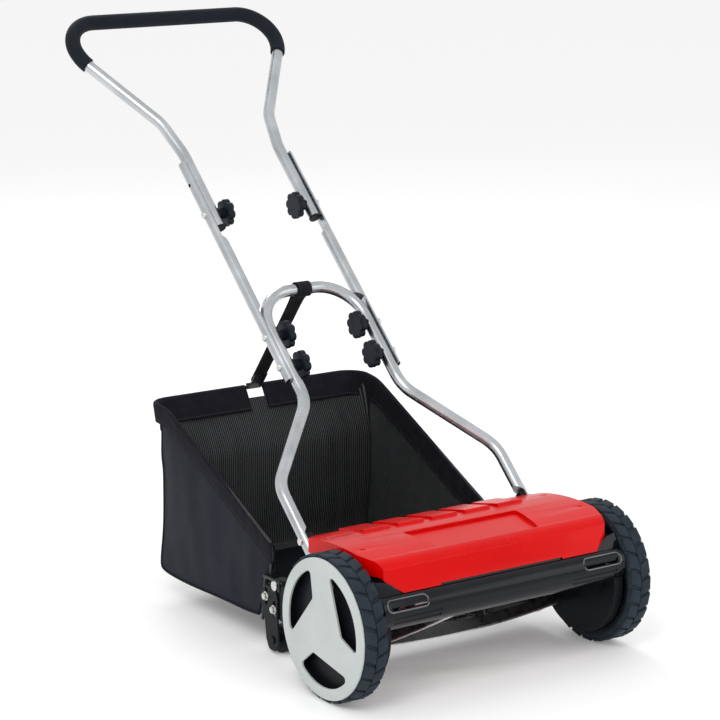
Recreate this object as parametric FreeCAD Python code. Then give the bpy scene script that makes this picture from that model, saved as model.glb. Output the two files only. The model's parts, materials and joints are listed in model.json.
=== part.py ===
import FreeCAD
import Part
import os
from math import acos, atan2, cos, degrees, pi, radians, sin, sqrt, tan

V = FreeCAD.Vector

# Frame: +Z up, the mower travels towards -Y, X runs across it.  The origin is on the ground under
# the middle of the wheel axle.  The left side is +X and the right side is -X, as seen by the person
# who pushes.  Everything paired is built on the +X side and mirrored.

# Overall sizes
wheelRadius = 110.0          # over the tread
wheelWidth = 41.5
halfTrack = 265.5            # to the wheel's outer face
axleHeight = wheelRadius
cuttingWidth = 378.0

# Drive: internal ring gear in each wheel and a pinion on each end of the reel shaft
gearModule = 2.5
ringTeeth = 72
pinionTeeth = 12
pressureAngle = radians(25.0)
toothBacklash = 0.3
gearWidth = 14.0
reelAngle = radians(21.0)    # the reel axis lies this far below the level behind the wheel axis
runningFit = 0.03

# Reel and bed knife
reelRadius = 52.0
reelBore = 6.0               # radius of the reel shaft
bladeCount = 5
bladeThick = 2.5
bladeDepth = 19.0
bladeTwist = -90.0           # degrees over the cutting width
knifeGap = 0.25

# Side plates
plateInner = 194.5
plateOuter = 206.5
axleRadius = 6.0

# Handle: all three stages lie in one sloping plane
tubeRadius = 9.5
tubeWall = 1.2
handleSlope = radians(43.7)
handleFootY = 204.0          # a point of the handle plane, where the legs bend inwards
handleFootZ = 269.0
legSpread = 205.0            # half distance between the legs
stageSpread = 90.95          # half distance between the inner tubes
middleSpread = 99.0          # half distance between the middle tubes
pressedFlat = 100.5          # inner face of the pressed ends of the middle tubes
archTop = 342.0              # along the slope, to the top of the lower handle's arch
archBend = 66.0
middleEnds = (176.0, 611.0)
upperStart = 479.0
gripTop = 920.0
gripRadius = 12.5
gripCorner = 209.0
foldBolt = 506.0
stageBolts = (261.0, 203.0)
spareHole = 567.0
boltRadius = 3.0

# Roller and its brackets
rollerY = 218.0
rollerRadius = 22.0
rollerBore = 4.0
slideRange = 10.0
heightBolts = ((235.0, 88.0), (213.0, 72.0))

# Grass bag
bagHalf = 204.0              # outer half width of the fabric
fabricThick = 2.4
bagWire = 2.5                # wire radius
studY = 200.0                # the bag hangs on these two studs
studZ = 114.0
studRadius = 4.0
bagRear = 598.0
bagRim = 318.0
bagKink = (548.0, 232.0)     # where the rear wall turns upright, as (y, z)

ringRadius = gearModule * ringTeeth / 2
pinionRadius = gearModule * pinionTeeth / 2
centreDistance = ringRadius - pinionRadius
reelY = centreDistance * cos(reelAngle)
reelZ = axleHeight - centreDistance * sin(reelAngle)
wheelInner = halfTrack - wheelWidth


def box(x0, x1, y0, y1, z0, z1):
    return Part.makeBox(x1 - x0, y1 - y0, z1 - z0, V(x0, y0, z0))


def rod(x0, x1, y, z, radius):
    """Cylinder along X."""
    return Part.makeCylinder(radius, x1 - x0, V(x0, y, z), V(1, 0, 0))


def ring(x0, x1, y, z, outer, inner):
    return rod(x0, x1, y, z, outer).cut(rod(x0 - 1, x1 + 1, y, z, inner))


def mirrored(shape):
    return shape.mirror(V(0, 0, 0), V(1, 0, 0))


def fused(shapes):
    whole = shapes[0].multiFuse(list(shapes[1:])) if len(shapes) > 1 else shapes[0]
    return whole.removeSplitter()


def bentWire(points, bends, closed=False):
    """Straight runs joined by tangent arcs; bends gives one radius per inner point."""
    count = len(points)
    starts = [None] * count
    ends = [None] * count
    mids = [None] * count
    inner = range(count) if closed else range(1, count - 1)
    for i in inner:
        before = points[i - 1]
        here = points[i]
        after = points[(i + 1) % count]
        radius = bends[i] if closed else bends[i - 1]
        u = (before - here).normalize()
        w = (after - here).normalize()
        angle = u.getAngle(w)
        if radius < 1e-6 or angle > pi - 1e-6:
            starts[i] = here
            ends[i] = here
            continue
        reach = radius / tan(angle / 2)
        starts[i] = here + u * reach
        ends[i] = here + w * reach
        bisector = (u + w).normalize()
        mids[i] = here + bisector * (radius / sin(angle / 2) - radius)
    if not closed:
        starts[0] = ends[0] = points[0]
        starts[-1] = ends[-1] = points[-1]
    edges = []
    last = count if closed else count - 1
    for i in range(count):
        if mids[i] is not None:
            edges.append(Part.Arc(starts[i], mids[i], ends[i]).toShape())
        if i < last:
            a = ends[i]
            b = starts[(i + 1) % count]
            if (a - b).Length > 1e-5:
                edges.append(Part.LineSegment(a, b).toShape())
    return Part.Wire(edges)


def sweep(points, bends, radius):
    """Round bar along a bent path."""
    path = bentWire(points, bends)
    heading = (points[1] - points[0]).normalize()
    section = Part.Wire([Part.Circle(points[0], heading, radius).toShape()])
    return path.makePipeShell([section], True, True)


def tubeRun(points, bends, outer, inner):
    """Round tube along a bent path."""
    return sweep(points, bends, outer).cut(sweep(points, bends, inner))


def plate(outline, radii, x0, x1):
    """Flat plate: an outline of (y, z) points with rounded corners, extruded along X."""
    points = [V(x0, y, z) for y, z in outline]
    if isinstance(radii, (int, float)):
        radii = [radii] * len(points)
    wire = bentWire(points, radii, closed=True)
    return Part.Face(wire).extrude(V(x1 - x0, 0, 0))


def planPrism(outline, radii, z0, z1):
    """Vertical prism from an outline of (x, y) points."""
    points = [V(x, y, z0) for x, y in outline]
    if isinstance(radii, (int, float)):
        radii = [radii] * len(points)
    wire = bentWire(points, radii, closed=True)
    return Part.Face(wire).extrude(V(0, 0, z1 - z0))


def turned(shape, y, z, angle):
    """A copy turned about an axis along X."""
    copy = shape.copy()
    copy.rotate(V(0, y, z), V(1, 0, 0), angle)
    return copy


def onHandle(x, s, n=0.0):
    """Point of the handle plane: s along the slope, n above the plane."""
    y = handleFootY + s * cos(handleSlope) - n * sin(handleSlope)
    z = handleFootZ + s * sin(handleSlope) + n * cos(handleSlope)
    return V(x, y, z)


# ---- gears -----------------------------------------------------------------------------------

def involute(angle):
    return tan(angle) - angle


def halfTooth(radius, pitch, thickness):
    """Half the angle that a tooth fills at a radius, for an involute flank."""
    base = pitch * cos(pressureAngle)
    at = acos(min(1.0, base / radius))
    return thickness / (2 * pitch) + involute(pressureAngle) - involute(at)


def gearOutline(teeth, pitch, low, high, thickness, lead, steps):
    """Closed outline of a gear whose teeth stand between the radii low and high."""
    base = pitch * cos(pressureAngle)
    flank = []
    if low < base:
        flank.append((low, halfTooth(base, pitch, thickness)))
    first = max(low, base)
    for k in range(steps + 1):
        radius = first + (high - first) * k / steps
        flank.append((radius, halfTooth(radius, pitch, thickness)))
    points = []
    for i in range(teeth):
        middle = lead + 2 * pi * i / teeth
        for radius, half in flank:
            points.append((radius, middle - half))
        for radius, half in reversed(flank):
            points.append((radius, middle + half))
    return points


def gearBlank(points, y, z, x0, x1):
    corners = [V(x0, y + r * cos(a), z + r * sin(a)) for r, a in points]
    wire = Part.makePolygon(corners + [corners[0]])
    return Part.Face(wire).extrude(V(x1 - x0, 0, 0))


def makePinion(x0):
    lead = atan2(reelZ - axleHeight, reelY)
    thickness = pi * gearModule / 2 - toothBacklash / 2
    outline = gearOutline(pinionTeeth, pinionRadius, pinionRadius - 0.7 * gearModule - 0.35,
                          pinionRadius + 0.8 * gearModule, thickness, lead, 4)
    body = gearBlank(outline, reelY, reelZ, x0, x0 + gearWidth)
    body = body.cut(rod(x0 - 1, x0 + gearWidth + 1, reelY, reelZ, reelBore + runningFit))
    pocket = rod(x0 - 1, x0 + 6, reelY, reelZ, 7.7)
    notches = [box(x0 - 1, x0 + 6, reelY - 2, reelY + 2, reelZ, reelZ + 10.2)]
    for k in range(1, 4):
        notches.append(turned(notches[0], reelY, reelZ, 90 * k))
    return body.cut(fused([pocket] + notches))


def makeRingGap():
    """The toothed hole of the ring gear, as a solid to cut away."""
    lead = atan2(reelZ - axleHeight, reelY)
    space = pi * gearModule / 2 + toothBacklash / 2
    outline = gearOutline(ringTeeth, ringRadius, ringRadius - 0.7 * gearModule,
                          ringRadius + 0.8 * gearModule + 0.4, space, lead, 2)
    return gearBlank(outline, 0, axleHeight, wheelInner + 1, wheelInner + 3 + gearWidth + 2)


# ---- wheels ----------------------------------------------------------------------------------

rimOuter = 98.0
hubRadius = 17.0
hubBush = 9.0
hubSpan = (wheelInner + 1, wheelInner + 33)
webSpan = (wheelInner + 22, wheelInner + 26)
rimFace = halfTrack - 3.5
trimRadius = 104.4
windowRadius = 87.0


def makeWheel():
    rim = ring(wheelInner + 1, rimFace, 0, axleHeight, rimOuter, ringRadius + 4)
    gear = rod(wheelInner + 2, wheelInner + 2 + gearWidth + 2, 0, axleHeight, ringRadius + 4.5)
    gear = gear.cut(makeRingGap())
    web = ring(webSpan[0], webSpan[1], 0, axleHeight, ringRadius + 4.5, hubBush)
    hub = ring(hubSpan[0], hubSpan[1], 0, axleHeight, hubRadius, hubBush)
    return fused([rim, gear, web, hub])


def makeTyre():
    """Ring with two staggered rows of blocks, parted by slanting grooves."""
    inner = wheelInner + 0.5
    outer = rimFace
    middle = (inner + outer) / 2
    shoulder = 4.0
    profile = [V(inner, 0, rimOuter), V(outer, 0, rimOuter), V(outer, 0, wheelRadius - shoulder),
               V(outer - shoulder, 0, wheelRadius), V(inner + shoulder, 0, wheelRadius),
               V(inner, 0, wheelRadius - shoulder)]
    face = Part.Face(bentWire(profile, [0, 0, 3, 3, 3, 3], closed=True))
    tyre = face.revolve(V(0, 0, 0), V(1, 0, 0), 360)
    tyre.translate(V(0, 0, axleHeight))
    blocks = 26
    grooveWidth = 5.0
    grooveDepth = 3.6
    tools = []
    for side in (-1, 1):
        length = (outer - inner) / 2 + 3
        groove = box(0, length, -grooveWidth / 2, grooveWidth / 2,
                     wheelRadius - grooveDepth, wheelRadius + 2)
        groove.rotate(V(0, 0, wheelRadius), V(0, 0, 1), -side * 24)
        if side < 0:
            groove = groove.mirror(V(0, 0, 0), V(1, 0, 0))
        groove.translate(V(middle - side * 1.5, 0, axleHeight))
        for i in range(blocks):
            tools.append(turned(groove, 0, axleHeight, 360 / blocks * (i + (side > 0) / 2)))
    return tyre.cut(Part.makeCompound(tools))


def makeTrim():
    """Ring with three broad swirling spokes, clipped to the web by three posts."""
    disc = rod(rimFace, halfTrack, 0, axleHeight, trimRadius)
    disc = disc.makeChamfer(1.2, [e for e in disc.Edges if abs(e.BoundBox.XMin - halfTrack) < 1e-6])
    tools = []
    for k in range(3):
        lead = 120 * k
        a = radians(lead - 19)
        b = radians(lead + 70)
        c = radians(lead + 60)
        mid = (a + b) / 2
        start = V(rimFace - 1, windowRadius * cos(a), windowRadius * sin(a))
        top = V(rimFace - 1, windowRadius * cos(mid), windowRadius * sin(mid))
        end = V(rimFace - 1, windowRadius * cos(b), windowRadius * sin(b))
        corner = V(rimFace - 1, 47 * cos(c), 47 * sin(c))
        edges = [Part.Arc(start, top, end).toShape(), Part.LineSegment(end, corner).toShape(),
                 Part.LineSegment(corner, start).toShape()]
        window = Part.Face(Part.Wire(edges)).extrude(V(6, 0, 0))
        upright = [e for e in window.Edges if abs(e.BoundBox.XLength - 6) < 1e-6]
        window = window.makeFillet(6, upright)
        window.translate(V(0, 0, axleHeight))
        tools.append(window)
    trim = disc.cut(Part.makeCompound(tools))
    posts = []
    for k in range(3):
        angle = radians(120 * k + 94)
        posts.append(rod(webSpan[1], rimFace + 1, 62 * cos(angle), axleHeight + 62 * sin(angle), 4))
    return fused([trim] + posts)


# ---- side plates and what they carry ----------------------------------------------------------

def handleStrip(x0, x1, s0, s1, n0, n1):
    """Box along the handle plane, for the plate's arm and for clearances."""
    corners = [onHandle(x0, s0, n0), onHandle(x0, s1, n0), onHandle(x0, s1, n1), onHandle(x0, s0, n1)]
    return Part.Face(Part.makePolygon(corners + [corners[0]])).extrude(V(x1 - x0, 0, 0))


footBolts = (-100.0, -148.0)
carrierBolts = ((112.0, 52.0), (121.0, 74.0))
barScrews = ((-76.0, 134.0), (-68.0, 154.0))
coverScrewY = (-10.0, 78.0)
tieRod = (-30.0, 165.0)


def makeSidePlate():
    outline = [(-78.5, 121.8), (-87, 147), (-74, 165), (-60, 190), (-30, 196), (96, 196), (112, 186),
               (160, 140), (188, 122), (212, 122), (243, 102), (243, 74), (205, 58), (150, 46),
               (126, 26), (92, 24), (58, 44), (0, 72), (-58, 96),
               (-63.8, 104), (-63.8, 121.8)]
    body = plate(outline, [1, 8, 8, 10, 10, 8, 12, 12, 8, 10, 8, 8, 20, 12, 8, 8, 10, 20, 4, 4, 0],
                 plateInner, plateOuter)
    arm = handleStrip(plateInner, plateOuter, -158, -92, -12, 9)
    body = fused([body, arm])
    holes = [rod(plateInner - 1, plateOuter + 1, 0, axleHeight, axleRadius),
             rod(plateInner - 1, plateOuter + 1, reelY, reelZ, hubBush),
             rod(plateInner - 1, plateOuter + 1, tieRod[0], tieRod[1], 4)]
    for y, z in carrierBolts:
        holes.append(rod(plateInner - 1, plateOuter + 1, y, z, 3))
    for y, z in barScrews:
        holes.append(rod(plateInner - 1, plateOuter + 1, y, z, 2))
    for y, z in heightBolts:
        holes.append(rod(plateInner - 1, plateOuter + 1, y, z, boltRadius))
    holes.append(rod(plateInner + 4, plateOuter + 1, studY, studZ, studRadius))
    middle = (plateInner + plateOuter) / 2
    for s in footBolts:
        point = onHandle(0, s)
        holes.append(rod(plateInner - 1, plateOuter + 1, point.y, point.z, boltRadius))
    for y in coverScrewY:
        holes.append(Part.makeCylinder(2, 30, V(middle, y, 178)))
    pockets = [plate([(-50, 120), (-66, 146), (-46, 172), (-22, 144), (-26, 122)], 5,
                     plateInner + 4, plateOuter + 1),
               plate([(30, 172), (34, 146), (92, 112), (118, 138), (92, 176)], 6,
                     plateInner + 4, plateOuter + 1),
               plate([(142, 120), (126, 86), (176, 72), (190, 100)], 6,
                     plateInner + 4, plateOuter + 1)]
    return body.cut(Part.makeCompound(holes + pockets))


gearCoverRadius = 90.0


def makeGearCover():
    """Dished disc that closes the ring gear off from the grass."""
    radius = gearCoverRadius
    disc = rod(plateOuter, plateOuter + 3, 0, axleHeight, radius)
    lip = ring(plateOuter + 3, wheelInner - 1.5, 0, axleHeight, radius, radius - 3)
    hole = rod(plateOuter - 1, plateOuter + 4, 0, axleHeight, 12)
    shaftHole = rod(plateOuter - 1, plateOuter + 4, reelY, reelZ, reelBore + 1)
    heads = [rod(plateOuter - 1, plateOuter + 4, y, z, 4.3) for y, z in barScrews]
    return fused([disc, lip]).cut(Part.makeCompound([hole, shaftHole] + heads))


def coverRelief():
    """Room round the gear covers, which stand outside the side plates."""
    room = rod(plateOuter - 0.5, coverHalf + 5, 0, axleHeight, gearCoverRadius + 1)
    return [room, mirrored(room)]


def makeAxle():
    shank = rod(plateInner, halfTrack - 4.5, 0, axleHeight, axleRadius)
    hexagon = []
    for k in range(6):
        angle = pi / 3 * k
        hexagon.append((10 * cos(angle), axleHeight + 10 * sin(angle)))
    head = plate(hexagon, 0, plateInner - 5, plateInner)
    groove = ring(halfTrack - 6.9, halfTrack - 5.7, 0, axleHeight, axleRadius + 1, axleRadius - 1)
    return fused([shank, head]).cut(groove)


def makeAxleRetainers():
    spacer = ring(plateOuter, wheelInner + 0.9, 0, axleHeight, hubBush, axleRadius)
    washer = ring(hubSpan[1] + 0.1, halfTrack - 6.9, 0, axleHeight, 10.5, axleRadius)
    clip = ring(halfTrack - 6.9, halfTrack - 5.7, 0, axleHeight, 9, axleRadius - 1)
    clip = clip.cut(box(halfTrack - 8, halfTrack - 5, -3, 3, axleHeight - 12, axleHeight - 1))
    return [spacer, washer, clip]


def makeReelBush():
    sleeve = ring(plateInner, plateOuter, reelY, reelZ, hubBush, reelBore + runningFit)
    flange = ring(plateInner - 2, plateInner, reelY, reelZ, 13, reelBore + runningFit)
    return fused([sleeve, flange])


# ---- reel -------------------------------------------------------------------------------------

pinionStart = wheelInner + 3
spiderPlaces = (-186.0, -62.0, 62.0, 186.0)


def makeReelShaft():
    end = pinionStart + gearWidth + 3
    shaft = rod(-end, end, reelY, reelZ, reelBore)
    tools = []
    for side in (-1, 1):
        x0 = side * (pinionStart + gearWidth + 1.6) - 0.6
        tools.append(ring(x0, x0 + 1.2, reelY, reelZ, reelBore + 1, reelBore - 1))
        middle = side * (pinionStart + 3)
        tools.append(box(middle - 1.5, middle + 1.5, reelY - 1.5, reelY + 1.5, reelZ - 10, reelZ + 10))
    return shaft.cut(Part.makeCompound(tools))


def makeShaftClip(side):
    x0 = side * (pinionStart + gearWidth + 1.6) - 0.6
    clip = ring(x0, x0 + 1.2, reelY, reelZ, 8.5, reelBore - 1)
    gap = box(x0 - 1, x0 + 3, reelY - 2.5, reelY + 2.5, reelZ - 12, reelZ)
    return clip.cut(gap)


def makePawl(side, shift):
    """Sliding bar through the shaft; shifted outwards it locks the pinion in a notch."""
    middle = side * (pinionStart + 3)
    return box(middle - 1.5, middle + 1.5, reelY - 1.5, reelY + 1.5, reelZ - 7.4 + shift,
               reelZ + 7.4 + shift)


def makeBlade(lead):
    half = cuttingWidth / 2
    steps = 12
    sections = []
    for k in range(steps + 1):
        t = k / steps
        x = -half + cuttingWidth * t
        angle = radians(lead + bladeTwist * (t - 0.5))
        out = V(0, cos(angle), sin(angle))
        side = V(0, -sin(angle), cos(angle))
        centre = V(x, reelY, reelZ)
        reach = sqrt(reelRadius ** 2 - (bladeThick / 2) ** 2)
        a = centre + out * reach - side * (bladeThick / 2)
        b = centre + out * reach + side * (bladeThick / 2)
        low = reelRadius - bladeDepth
        c = centre + out * low + side * (bladeThick / 2)
        d = centre + out * low - side * (bladeThick / 2)
        sections.append(Part.makePolygon([a, b, c, d, a]))
    return Part.makeLoft(sections, True, False)


def makeSpider(x, blades):
    disc = ring(x - 1.5, x + 1.5, reelY, reelZ, 40, reelBore)
    holes = []
    for k in range(bladeCount):
        angle = 2 * pi * (k + 0.5) / bladeCount + radians(180.5 + bladeTwist * x / cuttingWidth)
        holes.append(rod(x - 3, x + 3, reelY + 25 * cos(angle), reelZ + 25 * sin(angle), 8))
        holes.append(rod(x - 3, x + 3, reelY + 46 * cos(angle), reelZ + 46 * sin(angle), 17))
    return disc.cut(Part.makeCompound(holes)).cut(blades)


# ---- bed knife ----------------------------------------------------------------------------------

knifeTop = 33.5
knifeFront = reelY + sqrt((reelRadius + knifeGap) ** 2 - (reelZ - knifeTop) ** 2)
knifeScrewX = (-160.0, -80.0, 0.0, 80.0, 160.0)
knifeScrewY = 106.0


def makeBedKnife():
    outline = [(knifeFront, knifeTop), (knifeFront + 27, knifeTop), (knifeFront + 27, knifeTop - 4),
               (knifeFront + 5, knifeTop - 4), (knifeFront + 0.6, knifeTop - 2)]
    knife = plate(outline, 0, -plateInner + 0.2, plateInner - 0.2)
    holes = [Part.makeCylinder(2.5, 10, V(x, knifeScrewY, knifeTop - 6)) for x in knifeScrewX]
    return knife.cut(Part.makeCompound(holes))


def makeCarrier():
    low = knifeTop - 4
    outline = [(96, low), (118, low), (118, 58), (124, 58), (124, 24), (102, 24), (96, 26)]
    bar = plate(outline, 0, -plateInner, plateInner)
    holes = [Part.makeCylinder(2.5, 10, V(x, knifeScrewY, low - 8)) for x in knifeScrewX]
    ends = []
    for side in (-1, 1):
        inner = side * (plateInner - 3)
        for y, z in carrierBolts:
            holes.append(rod(min(inner, side * plateInner) - 2, max(inner, side * plateInner) + 2,
                             y, z, 3))
        ear = [(104, knifeTop + 0.2), (114, knifeTop + 0.2), (114, low), (124, low), (127, 66),
               (127, 80), (115, 80), (104, 60)]
        ends.append(plate(ear, 0, min(inner, side * plateInner), max(inner, side * plateInner)))
    return fused([bar] + ends).cut(Part.makeCompound(holes))


def makeKnifeScrews():
    screws = []
    for x in knifeScrewX:
        shank = Part.makeCylinder(2.5, knifeTop - 24.0, V(x, knifeScrewY, 24))
        head = Part.makeCylinder(4.5, 2.2, V(x, knifeScrewY, knifeTop))
        screws.append(fused([shank, head]))
    return screws


def makeCarrierBolts():
    bolts = []
    for side in (-1, 1):
        for y, z in carrierBolts:
            shank = rod(plateInner - 3, plateOuter, y, z, 3)
            head = rod(plateInner - 5, plateInner - 3, y, z, 5.5)
            bolt = fused([shank, head])
            bolts.append(bolt if side > 0 else mirrored(bolt))
    return bolts


# ---- front bar and top cover --------------------------------------------------------------------

barHalf = 221.0
coverHalf = 220.0
coverThick = 2.5
coverGap = 0.3               # between the cover and the front bar
coverRear = 130.0
faceTop = (-66.5, 205.0)     # top and bottom of the cover's front face, as (y, z)
faceLow = (-80.0, 170.0)
crownPoints = ((130.0, 206.0), (45.0, 220.5), (-44.0, 215.8))


def faceOffset(distance):
    """The front face's two ends moved inwards by a distance."""
    run = V(0, faceLow[0] - faceTop[0], faceLow[1] - faceTop[1]).normalize()
    inward = V(0, -run.z, run.y)
    if inward.y < 0:
        inward = inward * -1
    shift = inward * distance
    return ((faceTop[0] + shift.y, faceTop[1] + shift.z), (faceLow[0] + shift.y, faceLow[1] + shift.z))


def barSection(inset):
    """Open section of the front bar: an upright leg, a bulging face and a foot."""
    top, low = faceOffset(coverThick + 0.4 + inset)
    run = (top[0] - low[0]) / (top[1] - low[1])
    legTop = (top[0] - run * (top[1] - 200), 200)
    return legTop, (low[0] - run * 1.6, low[1] - 1.6)


def makeFrontBar():
    wall = 3.0
    outerTop, outerLow = barSection(0)
    innerTop, innerLow = barSection(wall)
    nose = (-96.5, 147.0)
    step = 168.9

    def at(point, x):
        return V(x, point[0], point[1])

    x0 = -barHalf
    edges = []

    def line(a, b):
        edges.append(Part.LineSegment(at(a, x0), at(b, x0)).toShape())

    def arc(a, b, c):
        edges.append(Part.Arc(at(a, x0), at(b, x0), at(c, x0)).toShape())

    lowOuter = (outerLow[0], step)
    shelf = (-81.2, step)
    chin = (-86.0, 123.0)
    foot = (-79.0, 118.5)
    footEnd = (-64.0, 118.5)
    line(outerTop, lowOuter)
    line(lowOuter, shelf)
    arc(shelf, nose, chin)
    line(chin, foot)
    line(foot, footEnd)
    footInner = (-64.0, 118.5 + wall)
    line(footEnd, footInner)
    turn = (-78.0, 118.5 + wall)
    chinInner = (-83.3, 124.6)
    line(footInner, turn)
    line(turn, chinInner)
    shelfInner = (-80.6, step - wall)
    arc(chinInner, (nose[0] + wall, nose[1]), shelfInner)
    legInner = (innerLow[0], step - wall)
    line(shelfInner, legInner)
    line(legInner, innerTop)
    line(innerTop, outerTop)
    shell = Part.Face(Part.Wire(edges)).extrude(V(2 * barHalf, 0, 0))
    webs = []
    for side in (-1, 1):
        inner = plateInner - 6
        web = plate([(-64, 121), (-80, 121.4), (-91, 147), (-77, 166), (-64, 195), (-58, 195),
                     (-62, 160)], 0, inner, plateInner - 0.1)
        for y, z in barScrews:
            web = web.cut(rod(inner - 1, plateInner + 1, y, z, 2))
        webs.append(web if side > 0 else mirrored(web))
    bar = fused([shell] + webs)
    grooves = []
    for side in (-1, 1):
        oval = planSlot(side * 176.0, 157.5, 66.0, 12.0)
        grooves.append(oval)
        grooves.append(ribSlot(side * 163.0, 141.0, 84.0, 4.0))
        grooves.append(ribSlot(side * 163.0, 132.5, 84.0, 4.0))
    skin = coverProfile(-coverGap, 192.0).common(coverPlan(-coverGap))
    inset = coverThick + 3 * coverGap
    skin = skin.cut(coverProfile(inset, 150.0).common(coverPlan(inset)))
    corner = [(168, 169.3), (204, 186.6), (barHalf + 1, 190), (barHalf + 1, 210), (168, 210)]
    trims = coverRelief()
    for side in (-1, 1):
        points = [V(side * x, -90, z) for x, z in corner]
        trims.append(Part.Face(Part.makePolygon(points + [points[0]])).extrude(V(0, 50, 0)))
    return bar.cut(Part.makeCompound(grooves)).cut(skin).cut(Part.makeCompound(trims))


def planSlot(x, z, length, height):
    """Shallow oval recess pressed into the bar's face from the front."""
    half = length / 2 - height / 2
    middle = box(x - half, x + half, -104, -91.4, z - height / 2, z + height / 2)
    ends = [Part.makeCylinder(height / 2, 12.6, V(x + side * half, -104, z), V(0, 1, 0))
            for side in (-1, 1)]
    return fused([middle] + ends)


def ribSlot(x, z, length, height):
    depth = -94.6 if z > 136 else -91.6
    return box(x - length / 2, x + length / 2, -104, depth, z - height / 2, z + height / 2)


def makeBarScrews():
    screws = []
    for y, z in barScrews:
        shank = rod(plateInner - 6, plateOuter, y, z, 2)
        head = rod(plateOuter, plateOuter + 2.5, y, z, 4)
        screw = fused([shank, head])
        screws.append(screw)
        screws.append(mirrored(screw))
    return screws


def coverProfile(inset, floor):
    """Closed side outline of the cover: a low crown, a round nose and a steep front face."""
    top, low = faceOffset(inset)
    x0 = -coverHalf - 10

    def at(y, z):
        return V(x0, y, z)

    rear = coverRear - inset
    rearTop = crownPoints[0][1] - inset
    crown = (crownPoints[1][0], crownPoints[1][1] - inset)
    noseBack = (crownPoints[2][0] + inset * 0.2, crownPoints[2][1] - inset)
    noseMid = (-58.6 + inset * 0.7, 211.6 - inset * 0.8)
    edges = [Part.Arc(at(rear, rearTop), at(*crown), at(*noseBack)).toShape(),
             Part.Arc(at(*noseBack), at(*noseMid), at(*top)).toShape(),
             Part.LineSegment(at(*top), at(*low)).toShape()]
    if inset > 0:
        corners = [low, (low[0], floor), (rear, floor), (rear, rearTop)]
    else:
        lift = -inset
        corners = [low, (-64.0 + lift, floor - lift), (rear, floor - lift), (rear, rearTop)]
    for a, b in zip(corners[:-1], corners[1:]):
        edges.append(Part.LineSegment(at(*a), at(*b)).toShape())
    return Part.Face(Part.Wire(edges)).extrude(V(2 * coverHalf + 20, 0, 0))


def coverPlan(inset):
    half = coverHalf - inset
    rear = coverRear + 4 - inset
    outline = [(-188, rear), (-half, 104 - inset), (-half, -22), (-204 + inset, -67 + inset),
               (-170 + inset, -84), (-170 + inset, -100), (170 - inset, -100), (170 - inset, -84),
               (204 - inset, -67 + inset), (half, -22), (half, 104 - inset), (188, rear)]
    radii = [10, 10, 20, 6, 0, 0, 0, 0, 6, 20, 10, 10]
    return planPrism(outline, radii, 120, 260)


padPlaces = (-124.0, -62.0, 0.0, 62.0, 124.0)


def makePad(x):
    """Raised pad that runs out over the rear edge."""
    outline = [(coverRear, 200), (coverRear, 209.6), (66, 223.2), (58, 216), (58, 200)]
    return plate(outline, [0, 2, 3, 0, 0], x - 23, x + 23)


def makeTopCover():
    outer = fused([coverProfile(0, 192.0)] + [makePad(x) for x in padPlaces])
    outer = outer.common(coverPlan(0))
    inner = coverProfile(coverThick, 150.0).common(coverPlan(coverThick))
    recess = planPrism([(-106, 27), (106, 27), (92, -48), (-92, -48)], 5, 190, 260)
    slope = [(40, 217.6), (40, 260), (-60, 260), (-60, 211.6)]
    recess = recess.common(plate(slope, 0, -120, 120))
    backing = planPrism([(-110, 31), (110, 31), (96, -52), (-96, -52)], 7, 190, 260)
    lowered = [(y, z - coverThick) for y, z in slope]
    backing = backing.common(plate(lowered, 0, -120, 120))
    cover = outer.cut(recess).cut(inner.cut(backing))
    middle = (plateInner + plateOuter) / 2
    bosses = []
    holes = []
    for y in coverScrewY:
        for side in (-1, 1):
            place = V(side * middle, y, 196.1)
            bosses.append(Part.makeCylinder(6, crownHeight(y) - 1 - place.z, place))
            holes.append(Part.makeCylinder(2, 50, V(side * middle, y, 190)))
            holes.append(Part.makeCylinder(4.2, 20, V(side * middle, y, crownHeight(y) - 3.0)))
    cover = fused([cover] + bosses)
    slots = []
    for side in (-1, 1):
        notch = handleStrip(plateInner - 1.5, halfTrack, -170, -50, -22, tubeRadius + 2)
        slots.append(notch if side > 0 else mirrored(notch))
    step = box(-112, 112, -90, -72, 168, 172.6)
    return cover.cut(Part.makeCompound(holes + slots + [step] + coverRelief()))


def crownHeight(y):
    """Height of the cover's outer crown at a distance along the mower."""
    arc = Part.Arc(*[V(0, *point) for point in crownPoints]).toShape().Curve
    return arc.Center.z + sqrt(arc.Radius ** 2 - (y - arc.Center.y) ** 2)


def makeCoverScrews():
    screws = []
    middle = (plateInner + plateOuter) / 2
    for side in (-1, 1):
        for y in coverScrewY:
            seat = crownHeight(y) - 3.0
            shank = Part.makeCylinder(2, seat - 180, V(side * middle, y, 180))
            head = Part.makeCylinder(4, 2.4, V(side * middle, y, seat))
            screws.append(fused([shank, head]))
    return screws


def makeTieRod():
    y, z = tieRod
    body = rod(-plateInner, plateInner, y, z, 6)
    ends = rod(-plateOuter, plateOuter, y, z, 4)
    return fused([body, ends])


# ---- roller and height brackets ------------------------------------------------------------------

bracketInner = plateOuter + 0.2
bracketOuter = bracketInner + 3.0


def makeBracket():
    outline = [(250, 94), (238, 106), (209, 106), (204, 90), (204, 58), (200, 20), (210, 5), (228, 5),
               (236, 20), (240, 50), (250, 76)]
    body = plate(outline, [6, 6, 6, 4, 20, 10, 9, 9, 12, 20, 8], bracketInner, bracketOuter)
    tools = [rod(bracketInner - 1, bracketOuter + 1, rollerY, rollerRadius, rollerBore)]
    for y, z in heightBolts:
        half = slideRange + 0.2
        slotRadius = boltRadius + 0.1
        tools.append(box(bracketInner - 1, bracketOuter + 1, y - slotRadius, y + slotRadius,
                         z - half, z + half))
        for end in (-half, half):
            tools.append(rod(bracketInner - 1, bracketOuter + 1, y, z + end, slotRadius))
    return body.cut(fused(tools))


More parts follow.
